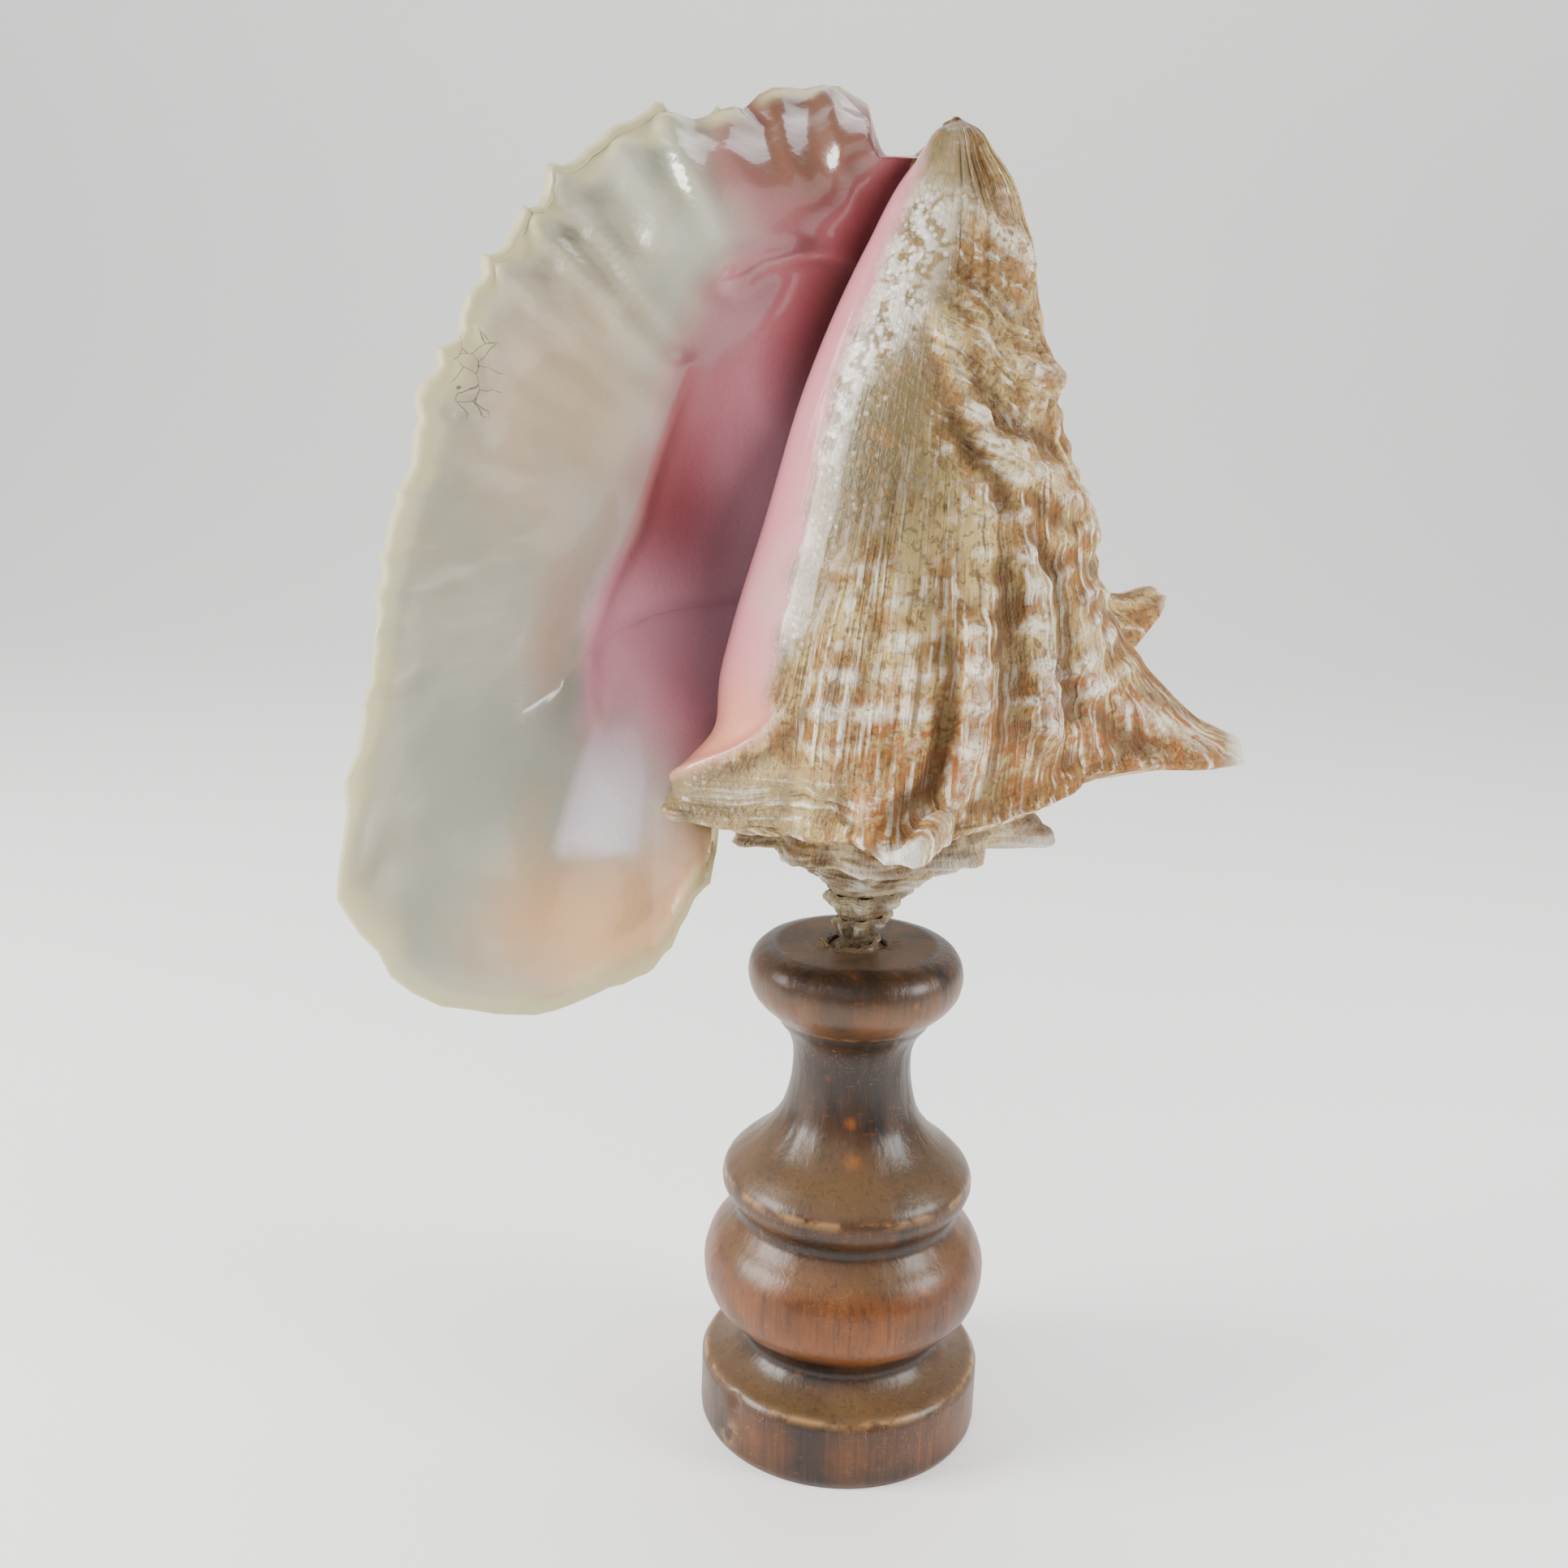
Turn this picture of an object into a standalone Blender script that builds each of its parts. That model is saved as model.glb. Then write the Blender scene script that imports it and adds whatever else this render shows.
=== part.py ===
"""Queen conch shell set apex down in a turned wooden stand.

Frame: the origin is the centre of the stand's flat foot, +Z is up and the shell's
open side faces -Y. Lengths are metres; the tables below are in millimetres.
"""
import math

import bmesh
import bpy
import numpy as np

MM = 0.001
COLLECTION = "Conch shell on stand"

# The turned stand: radius and height of its outer side, from the socket down to the foot.
STAND_HEIGHT = 140.0
SOCKET_RADIUS = 7.6
SOCKET_DEPTH = 10.5
STAND_STEPS = 40
STAND_SIDE = [
    (22.0, 140.0), (25.2, 139.0), (27.8, 136.2), (28.8, 132.0), (28.2, 128.4), (25.8, 124.6),
    (22.8, 121.8), (21.8, 120.8), (21.0, 120.2), (20.4, 119.0), (17.8, 115.5), (16.3, 111.5),
    (15.9, 106.5), (16.7, 99.0), (19.0, 91.5), (24.0, 84.6), (30.6, 79.0), (33.4, 75.8),
    (34.3, 72.4), (33.2, 69.0), (30.8, 66.0), (30.4, 63.6), (32.2, 60.6), (35.8, 56.4),
    (38.4, 50.5), (38.6, 44.5), (36.6, 38.0), (32.0, 33.0), (28.4, 29.6), (27.8, 26.8),
    (29.8, 23.8), (34.2, 21.0), (37.6, 19.6), (38.8, 17.6), (38.8, 2.0), (37.8, 0.0),
]

# Where the shell stands: its axis leans to the right and towards the front.
LEAN_RIGHT_DEG = 3.7
LEAN_FRONT_DEG = 5.0

# How the shell grew: turns back from the lip, shoulder radius and shoulder height.
GROWTH = np.array([
    (-7.2, 1.8, -8.6), (-6.2, 3.6, -4.5), (-5.5, 5.2, 2.5), (-4.6, 7.0, 9.0), (-3.6, 10.6, 16.5),
    (-3.1, 14.0, 21.5), (-2.6, 18.5, 24.0), (-2.1, 24.5, 27.5), (-1.6, 32.0, 36.0),
    (-1.25, 38.5, 37.5), (-1.0, 44.0, 40.5), (-0.83, 49.0, 49.0), (-0.583, 57.0, 65.0),
    (-0.4, 62.0, 72.0), (-0.167, 68.0, 78.0), (0.0, 72.0, 81.0),
])
TURNS = 6
LIP_DEG = 210.0
BODY_START_DEG = LIP_DEG - 360.0
WING_START_DEG = 145.0
SUTURE_IN = 0.965
SUTURE_UP = 0.10
SPIRE_SUTURE_UP = 0.22
TIP_HEIGHT = 204.5

# Outline of the body whorl from its shoulder (0) to the tip (1): share of the shoulder radius,
# on the columella side and on the outer side.
COLUMELLA_SIDE = np.array([
    (0.0, 1.0), (0.12, 1.04), (0.19, 1.05), (0.26, 1.01), (0.43, 0.87), (0.64, 0.70),
    (0.825, 0.45), (0.93, 0.26), (1.0, 0.03),
])
OUTER_SIDE = np.array([
    (0.0, 1.0), (0.14, 0.97), (0.25, 0.90), (0.36, 0.795), (0.59, 0.545), (0.81, 0.365),
    (0.92, 0.245), (1.0, 0.03),
])

# Spines of the body whorl: angle, reach, half width in degrees, rise for each mm of reach.
SPINES = [
    (-146.0, 4.0, 20.0, 0.0), (-88.0, 22.0, 24.0, -0.12), (-2.0, 34.0, 27.0, -0.04),
    (34.0, 31.0, 19.0, 0.65), (95.0, 16.0, 20.0, 0.1),
]
KNOB_EVERY_DEG = 45.0
KNOB_HALF_DEG = 21.0
KNOB_REACH = 0.5
WORN_KNOB = 0.15

# Outer edge of the lip: place along the section, then x, y and z in the shell's own frame.
LIP_EDGE = np.array([
    (0.10, -37, -18, 32), (0.20, -38, -24, 26), (0.33, -43, -30, 19), (0.45, -47, -33, 12),
    (0.60, -54, -36, 4), (0.75, -66, -39, -3), (0.90, -84, -40, -9), (1.05, -106, -40, -6),
    (1.25, -122, -37, 8), (1.50, -128, -34, 20), (1.80, -128, -27, 42), (2.06, -125, -20, 66),
    (2.17, -125, -14, 87), (2.28, -121, -8, 106), (2.39, -119, -2, 128), (2.49, -114, 5, 147),
    (2.59, -107, 11, 167), (2.66, -100, 16, 179), (2.73, -88, 21, 191), (2.80, -73, 26, 201),
    (2.87, -53, 30, 205), (2.91, -42, 33, 210), (2.95, -26, 31, 210), (2.972, -18, 26, 199),
    (2.986, -14, 19, 189), (2.995, -7, 11, 188),
])
LIP_CENTRE = np.array([-45.0, -10.0, 95.0])
LIP_FORWARD = 0.25
LIP_WALL = np.array([
    (0.0, 1.6), (0.3, 2.4), (0.75, 4.5), (1.5, 6.0), (2.3, 6.0), (2.8, 5.5), (2.95, 3.5), (3.0, 1.6),
])

# The hollow of the last whorl: how far in it is modelled, and its wall.
THROAT_END_DEG = -45.0
WALL_SHARE = 0.35

# Steps of the faceted model.
STEP_DEG = 7.5
LOW_PLACES = [0.0, 0.35, 0.7, 1.0, 1.25, 1.6, 2.0]
HIGH_PLACES = [2.1, 2.22, 2.35, 2.48, 2.6, 2.71, 2.8, 2.87, 2.92, 2.95, 2.975, 2.992]
SHARP_EDGE_DEG = 50.0


def curve_through(xs, ys, x):
    """Smooth curve through the points (xs, ys), read at x."""
    xs, ys, x = np.asarray(xs, float), np.asarray(ys, float), np.asarray(x, float)
    flat = ys.ndim == 1
    if flat:
        ys = ys[:, None]
    gaps = np.diff(xs)[:, None]
    rise = np.diff(ys, axis=0) / gaps
    slope = np.empty_like(ys)
    slope[1:-1] = (rise[:-1] * gaps[1:] + rise[1:] * gaps[:-1]) / (gaps[1:] + gaps[:-1])
    slope[0], slope[-1] = rise[0], rise[-1]
    k = np.clip(np.searchsorted(xs, x, side="right") - 1, 0, len(gaps) - 1)
    wide = gaps[k]
    t = ((x - xs[k]) / wide[..., 0])[..., None]
    out = (
        (1 + 2 * t) * (1 - t) ** 2 * ys[k]
        + t * (1 - t) ** 2 * wide * slope[k]
        + t * t * (3 - 2 * t) * ys[k + 1]
        + t * t * (t - 1) * wide * slope[k + 1]
    )
    return out[..., 0] if flat else out


def shoulder(deg):
    """Radius and height of the shoulder at a growth angle."""
    grown = curve_through(GROWTH[:, 0], GROWTH[:, 1:], (deg - LIP_DEG) / 360.0)
    return grown[..., 0], grown[..., 1]


def suture(deg):
    """Radius and height of the line where the next whorl is laid on this one."""
    radius, height = shoulder(deg)
    early = np.clip((BODY_START_DEG - 40.0 - deg) / 90.0, 0, 1)
    rise = SUTURE_UP + (SPIRE_SUTURE_UP - SUTURE_UP) * early
    return radius * SUTURE_IN, height + radius * rise


def outline(deg, along):
    """Share of the shoulder radius along the body whorl, from 0 at the shoulder to 1."""
    outer = np.clip((deg - BODY_START_DEG + 30.0) / 180.0, 0, 1)
    outer = outer * outer * (3 - 2 * outer)
    inner_share = curve_through(COLUMELLA_SIDE[:, 0], COLUMELLA_SIDE[:, 1], along)
    outer_share = curve_through(OUTER_SIDE[:, 0], OUTER_SIDE[:, 1], along)
    return inner_share + (outer_share - inner_share) * outer


def section(deg, place):
    """Radius and height of the whorl: place 0 suture, 1 shoulder, 2 next suture, 3 tip."""
    top_r, top_h = shoulder(deg)
    low_r, low_h = suture(deg - 360.0)
    next_r, next_h = suture(deg)
    ramp = np.clip(place, 0, 1)
    band = np.clip(place - 1, 0, 1)
    start = (next_h - top_h) / (TIP_HEIGHT - top_h)
    along = start + (1 - start) * np.clip(place - 2, 0, 1)
    body_r = next_r + top_r * (outline(deg, along) - outline(deg, start))
    radius = np.where(place < 1, low_r + (top_r - low_r) * ramp, top_r + (next_r - top_r) * band ** 2)
    height = np.where(
        place < 1,
        low_h + (top_h - low_h) * (0.8 * ramp + 0.2 * ramp ** 2),
        top_h + (next_h - top_h) * band,
    )
    on_body = place > 2
    return np.where(on_body, body_r, radius), np.where(on_body, top_h + (TIP_HEIGHT - top_h) * along, height)


def spine_push(deg, place):
    """How far spines and knobs push the surface out, and how far they lift it."""
    radius = shoulder(deg)[0]
    push, lift = np.zeros(deg.shape), np.zeros(deg.shape)
    above = np.where(place < 2, (place - 1) * 0.09, place - 1.91)
    for centre, reach, half, rise in SPINES:
        away = np.where(place < 1, (1 - place) / 0.50, above / 0.34)
        far = np.hypot((deg - centre) / half, away)
        out = reach * np.clip(1.3 * np.clip(1 - far, 0, 1) ** 1.9, 0, 1)
        lift = np.where(out > push, rise * out, lift)
        push = np.maximum(push, out)
    spire = deg < BODY_START_DEG - 15.0
    turn = (deg - BODY_START_DEG + 30.0 + KNOB_EVERY_DEG / 2) % KNOB_EVERY_DEG - KNOB_EVERY_DEG / 2
    away = np.where(place < 1, (1 - place) / 0.6, (place - 1) * 0.6)
    far = np.hypot(turn / KNOB_HALF_DEG, away)
    worn = (deg > -230.0) | ((np.cos(np.radians(deg + 90.0)) > 0.4) & (deg > -870.0))
    reach = radius * KNOB_REACH * np.where(worn, WORN_KNOB, 1.0)
    knob = np.where(place > 2, 0.0, reach * np.clip(1 - far, 0, 1) ** 1.2)
    return np.where(spire, knob, push), np.where(spire, -0.15 * knob, lift)


def whorl(deg, place):
    """Outer surface of the coiled shell without the flared lip."""
    deg, place = np.broadcast_arrays(np.asarray(deg, float), np.asarray(place, float))
    radius, height = section(deg, place)
    push, lift = spine_push(deg, place)
    turn = np.radians(deg)
    radius = radius + push
    return np.stack([radius * np.cos(turn), radius * np.sin(turn), height + lift], -1)


def lip_edge(place):
    """Point on the outer edge of the lip."""
    known = np.vstack([whorl(LIP_DEG, 0.0), LIP_EDGE[:, 1:], whorl(LIP_DEG, 3.0)])
    places = np.concatenate([[0.0], LIP_EDGE[:, 0], [3.0]])
    return curve_through(places, known, place)


def flare(share, place):
    """Lip surface between the coiled whorl (share 0) and the lip's edge (share 1)."""
    start = whorl(WING_START_DEG, place)
    leave = start - whorl(WING_START_DEG - 4.0, place)
    leave = leave / (np.linalg.norm(leave, axis=-1, keepdims=True) + 1e-9)
    edge = lip_edge(place)
    spread = (edge - LIP_CENTRE) * np.array([1.0, 0.0, 1.0])
    spread = spread / np.linalg.norm(spread, axis=-1, keepdims=True) - np.array([0.0, LIP_FORWARD, 0.0])
    span = np.linalg.norm(edge - start, axis=-1, keepdims=True)
    t = share[..., None]
    return (
        (1 + 2 * t) * (1 - t) ** 2 * start
        + t * (1 - t) ** 2 * 1.05 * span * leave
        + t * t * (3 - 2 * t) * edge
        + t * t * (t - 1) * 0.75 * span * spread
    )


def outer_skin(deg, place):
    """Outer surface of the whole shell, with the lip kept on the seam of the last whorl."""
    deg, place = np.broadcast_arrays(np.asarray(deg, float), np.asarray(place, float))
    share = np.clip((deg - WING_START_DEG) / (LIP_DEG - WING_START_DEG), 0, 1)
    seam = whorl(deg - 360.0, np.full(deg.shape, 2.0))
    hold = np.clip(1 - place / 0.5, 0, 1)[..., None] ** 1.5
    lip = flare(share, place) + hold * (seam - flare(share, np.zeros(deg.shape)))
    return np.where((deg > WING_START_DEG)[..., None], lip, whorl(deg, place))


def inner_skin(deg, place, core):
    """The outer surface moved in by the wall, which thins where the core comes close."""
    nudge = 0.5
    nudge_place = 0.004
    point = outer_skin(deg, place)
    back = outer_skin(np.asarray(deg) - nudge, place)
    low = outer_skin(deg, place - nudge_place)
    high = outer_skin(deg, place + nudge_place)
    inward = np.cross(high - low, point - back)
    inward = inward / np.linalg.norm(inward, axis=-1, keepdims=True)
    room = np.linalg.norm(point[:, None, :] - core[None, :, :], axis=-1).min(axis=1)
    wall = curve_through(LIP_WALL[:, 0], LIP_WALL[:, 1], place)
    thick = np.minimum(wall, room * WALL_SHARE)
    return point + inward * thick[:, None]


class Skin:
    """Points and faces of one closed surface."""

    def __init__(self):
        self.points = []
        self.faces = []

    def add(self, points):
        """Add points and give their numbers."""
        first = len(self.points)
        self.points.extend(tuple(p) for p in points)
        return list(range(first, len(self.points)))

    def band(self, one, two, closed=False):
        """Faces between two rows with the same number of points."""
        count = len(one)
        for k in range(count if closed else count - 1):
            after = (k + 1) % count
            ring = [one[k], one[after], two[after], two[k]]
            ring = [n for m, n in enumerate(ring) if n not in ring[:m]]
            if len(ring) > 2:
                self.faces.append(ring)

    def lace(self, one, two):
        """Triangles between two rows that need not have the same number of points."""
        a, b = 0, 0
        where = np.array(self.points)
        while a < len(one) - 1 or b < len(two) - 1:
            step_a = a < len(one) - 1
            if step_a and b < len(two) - 1:
                across_a = np.linalg.norm(where[one[a + 1]] - where[two[b]])
                across_b = np.linalg.norm(where[one[a]] - where[two[b + 1]])
                step_a = across_a <= across_b
            if step_a:
                self.face(one[a], one[a + 1], two[b])
                a += 1
            else:
                self.face(one[a], two[b + 1], two[b])
                b += 1

    def face(self, *ring):
        """One face, left out where two of its corners are the same point."""
        if len(set(ring)) == len(ring):
            self.faces.append(list(ring))


def shell_skin():
    """The shell as one closed surface in its own frame, in millimetres."""
    skin = Skin()
    turn = round(360.0 / STEP_DEG)
    rows = TURNS * turn
    degs = LIP_DEG - STEP_DEG * np.arange(rows, -1, -1)
    places = np.array(LOW_PLACES + HIGH_PLACES)
    low = len(LOW_PLACES)
    tip = skin.add([(0.0, 0.0, TIP_HEIGHT)])[0]
    grid = []
    for row, deg in enumerate(degs):
        on_body = deg >= BODY_START_DEG - 0.01
        used = places if on_body else places[:low]
        points = outer_skin(deg, used)
        if row < turn:
            ids = skin.add(points)
        else:
            ids = [grid[row - turn][low - 1]] + skin.add(points[1:])
        grid.append(ids + [tip] if on_body else ids)
        if row:
            count = min(len(grid[row]), len(grid[row - 1]))
            skin.band(grid[row - 1][:count], grid[row][:count])
    # The first turn is closed round the apex.
    first = grid[0]
    apex = skin.add([(0.0, 0.0, GROWTH[0, 2])])[0]
    open_side = first[::-1] + [ids[0] for ids in grid[1:turn + 1]]
    for one, two in zip(open_side, open_side[1:]):
        skin.face(one, two, apex)
    # The hollow: its outer wall follows the skin, its core is the whorl a turn earlier.
    last = int(np.searchsorted(places, 2.95))
    walls, core_start = places[1:last + 1], places[low:last + 1]
    rim_row, body_row = grid[-1], grid[rows - turn]
    before = None
    for deg in degs[degs >= THROAT_END_DEG][::-1]:
        core_points = whorl(deg - 360.0, core_start)
        wall = skin.add(inner_skin(deg, walls, whorl(deg - 360.0, np.linspace(2.0, 3.0, 40))))
        core = body_row[low:last + 1] if before is None else skin.add(core_points)
        loop = wall + core[::-1]
        if before is None:
            skin.band(rim_row[1:last + 1], wall)
            skin.face(rim_row[0], rim_row[1], wall[0])
            skin.face(rim_row[0], wall[0], core[0])
            skin.lace(rim_row[last:-1] + [tip], [wall[-1]] + body_row[last:-1])
        else:
            skin.band(before, loop, closed=True)
        before = loop
    skin.lace(before[:len(walls)], before[len(walls):][::-1])
    return skin


def stand_frame(points):
    """Move points from the shell's own frame to the stand's frame, in metres."""
    right, front = math.radians(LEAN_RIGHT_DEG), math.radians(LEAN_FRONT_DEG)
    x, y, z = np.array(points).T
    x, z = x * math.cos(right) + z * math.sin(right), z * math.cos(right) - x * math.sin(right)
    y, z = y * math.cos(front) - z * math.sin(front), z * math.cos(front) + y * math.sin(front)
    return np.stack([x, y, z + STAND_HEIGHT], -1) * MM


def material(name, colour, rough):
    """A plain Principled material."""
    made = bpy.data.materials.new(name)
    made.use_nodes = True
    shader = made.node_tree.nodes["Principled BSDF"]
    shader.inputs["Base Color"].default_value = (*colour, 1.0)
    shader.inputs["Roughness"].default_value = rough
    shader.inputs["Metallic"].default_value = 0.0
    return made


def smooth(item):
    """Shade a piece smooth and keep its real edges."""
    item.data.shade_smooth()
    item.data.set_sharp_from_angle(angle=math.radians(SHARP_EDGE_DEG))


def make_shell(group):
    """The conch shell, one grown piece."""
    skin = shell_skin()
    mesh = bpy.data.meshes.new("conch_shell")
    mesh.from_pydata([tuple(p) for p in stand_frame(skin.points)], [], skin.faces)
    work = bmesh.new()
    work.from_mesh(mesh)
    bmesh.ops.triangulate(work, faces=work.faces[:])
    bmesh.ops.recalc_face_normals(work, faces=work.faces[:])
    work.to_mesh(mesh)
    work.free()
    item = bpy.data.objects.new("conch_shell", mesh)
    mesh.materials.append(material("conch_shell", (0.62, 0.47, 0.34), 0.35))
    smooth(item)
    group.objects.link(item)
    return item


def make_stand(group):
    """The turned stand, a profile swept round the axis."""
    floor = STAND_HEIGHT - SOCKET_DEPTH
    profile = [(0.0, floor), (SOCKET_RADIUS, floor), (SOCKET_RADIUS, STAND_HEIGHT)]
    profile += STAND_SIDE + [(0.0, 0.0)]
    mesh = bpy.data.meshes.new("wooden_stand")
    mesh.from_pydata(
        [(r * MM, 0.0, h * MM) for r, h in profile], [(k, k + 1) for k in range(len(profile) - 1)], []
    )
    item = bpy.data.objects.new("wooden_stand", mesh)
    turned = item.modifiers.new("turned", "SCREW")
    turned.axis = "Z"
    turned.angle = math.tau
    turned.steps = STAND_STEPS
    turned.render_steps = STAND_STEPS
    turned.use_merge_vertices = True
    turned.merge_threshold = 0.00005
    turned.use_smooth_shade = True
    mesh.materials.append(material("wooden_stand", (0.13, 0.06, 0.03), 0.4))
    group.objects.link(item)
    return item


def main():
    """Clear the scene and build both pieces."""
    for item in list(bpy.data.objects):
        bpy.data.objects.remove(item, do_unlink=True)
    group = bpy.data.collections.new(COLLECTION)
    bpy.context.scene.collection.children.link(group)
    make_stand(group)
    make_shell(group)


main()
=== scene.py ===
"""Conch shell set apex down in a turned wooden stand, dressed for the studio."""

import logging
import math
from dataclasses import dataclass, field
from enum import Enum

import bpy
import numpy as np
from mathutils import Matrix, Vector


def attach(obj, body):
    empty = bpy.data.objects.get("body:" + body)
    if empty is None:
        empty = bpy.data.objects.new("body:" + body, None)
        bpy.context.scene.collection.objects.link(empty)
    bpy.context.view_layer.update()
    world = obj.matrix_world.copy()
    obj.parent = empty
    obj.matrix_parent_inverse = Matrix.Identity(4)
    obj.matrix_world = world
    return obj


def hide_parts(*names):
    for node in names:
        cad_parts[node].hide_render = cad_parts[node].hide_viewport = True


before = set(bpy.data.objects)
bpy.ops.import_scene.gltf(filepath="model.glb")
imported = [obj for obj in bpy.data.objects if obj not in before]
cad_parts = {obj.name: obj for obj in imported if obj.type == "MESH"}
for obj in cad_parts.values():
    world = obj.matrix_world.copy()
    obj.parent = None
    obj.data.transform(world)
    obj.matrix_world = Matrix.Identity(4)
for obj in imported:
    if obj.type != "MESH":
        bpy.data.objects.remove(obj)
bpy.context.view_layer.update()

MM = 0.001
LOG = logging.getLogger("conch")

Grid = np.ndarray
Rgb = tuple[int, int, int]
Point = tuple[float, float]
Line = tuple[Point, ...]
Fold = tuple[Line, float, float]
Spot = tuple[float, Point, Point]
Xyz = tuple[float, float, float]
Points = list[Xyz]
Faces = list[tuple[int, ...]]


def linear(colour: Rgb) -> tuple[float, float, float, float]:
    """Turn a display colour of 0 to 255 into linear light.

    Args:
        colour: red, green and blue from 0 to 255.

    Returns:
        Red, green, blue and 1, in linear light.
    """
    parts = [c / 255.0 for c in colour]
    light = [c / 12.92 if c <= 0.04045 else ((c + 0.055) / 1.055) ** 2.4 for c in parts]
    return (light[0], light[1], light[2], 1.0)


def step_between(low: float, high: float, x: Grid) -> Grid:
    """Smooth step from 0 at low to 1 at high."""
    t = np.clip((np.asarray(x, float) - low) / (high - low), 0.0, 1.0)
    return t * t * (3.0 - 2.0 * t)


def bell(x: Grid, width: float) -> Grid:
    """Bell curve of a given half width."""
    return np.exp(-((np.asarray(x, float) / width) ** 2))


def curve_through(xs: Grid, ys: Grid, x: Grid) -> Grid:
    """Smooth curve through known points.

    Args:
        xs: places of the known points, rising.
        ys: values there, one column for each value.
        x: places to read.

    Returns:
        The values at x.
    """
    xs, ys, x = np.asarray(xs, float), np.asarray(ys, float), np.asarray(x, float)
    flat = ys.ndim == 1
    if flat:
        ys = ys[:, None]
    gaps = np.diff(xs)[:, None]
    rise = np.diff(ys, axis=0) / gaps
    slope = np.empty_like(ys)
    slope[1:-1] = (rise[:-1] * gaps[1:] + rise[1:] * gaps[:-1]) / (gaps[1:] + gaps[:-1])
    slope[0], slope[-1] = rise[0], rise[-1]
    k = np.clip(np.searchsorted(xs, x, side="right") - 1, 0, len(gaps) - 1)
    wide = gaps[k]
    t = ((x - xs[k]) / wide[..., 0])[..., None]
    out = (
        (1 + 2 * t) * (1 - t) ** 2 * ys[k]
        + t * (1 - t) ** 2 * wide * slope[k]
        + t * t * (3 - 2 * t) * ys[k + 1]
        + t * t * (t - 1) * wide * slope[k + 1]
    )
    return out[..., 0] if flat else out


def in_metres(points: Points) -> Points:
    """Turn points in millimetres into points in metres."""
    return [(x * MM, y * MM, z * MM) for x, y, z in points]


def add_mesh(name: str, points: Points, faces: Faces) -> bpy.types.Object:
    """Make a mesh object and put it in the scene.

    Args:
        name: name of the mesh and of the object.
        points: points in metres.
        faces: numbers of the points of each face.

    Returns:
        The object.
    """
    mesh = bpy.data.meshes.new(name)
    mesh.from_pydata(points, [], faces)
    item = bpy.data.objects.new(name, mesh)
    bpy.context.scene.collection.objects.link(item)
    return item


def add_marks(item: bpy.types.Object, marks: dict[str, Grid]) -> None:
    """Keep a number for every point of a mesh under each name.

    Args:
        item: the object.
        marks: numbers for its points by name.
    """
    for name, mark in marks.items():
        layer = item.data.attributes.new(name, "FLOAT", "POINT")
        layer.data.foreach_set("value", mark.astype(np.float32).ravel())


@dataclass(frozen=True)
class Grain:
    """Smooth repeatable unevenness made of value noise."""

    seed: int

    def _corner(self, i: Grid, j: Grid) -> Grid:
        """Repeatable number from 0 to 1 for a lattice corner.

        Args:
            i: columns.
            j: rows.

        Returns:
            Numbers from 0 to 1.
        """
        i, j = i.astype(np.int64), j.astype(np.int64)
        n = (i * 374761393 + j * 668265263 + self.seed * 974711) & 0x7FFFFFFF
        n = ((n ^ (n >> 13)) * 1274126177) & 0x7FFFFFFF
        return ((n ^ (n >> 16)) & 0xFFFF) / 65535.0

    def at(self, x: Grid, y: Grid) -> Grid:
        """Noise from -1 to 1 at points of a plane.

        Args:
            x: places along the plane.
            y: places across the plane.

        Returns:
            Noise from -1 to 1.
        """
        x, y = np.broadcast_arrays(np.asarray(x, float), np.asarray(y, float))
        i, j = np.floor(x), np.floor(y)
        u, v = x - i, y - j
        u, v = u * u * (3 - 2 * u), v * v * (3 - 2 * v)
        low = self._corner(i, j) * (1 - u) + self._corner(i + 1, j) * u
        high = self._corner(i, j + 1) * (1 - u) + self._corner(i + 1, j + 1) * u
        return 2.0 * (low * (1 - v) + high * v) - 1.0

    def rough(self, x: Grid, y: Grid, octaves: int = 3) -> Grid:
        """Several scales of noise added together.

        Args:
            x: places along the plane.
            y: places across the plane.
            octaves: number of scales.

        Returns:
            The sum.
        """
        total, size, weight = 0.0, 1.0, 1.0
        for _ in range(octaves):
            total = total + weight * self.at(np.asarray(x) * size + 17.3 * size, np.asarray(y) * size)
            size, weight = size * 2.03, weight * 0.5
        return total


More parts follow.
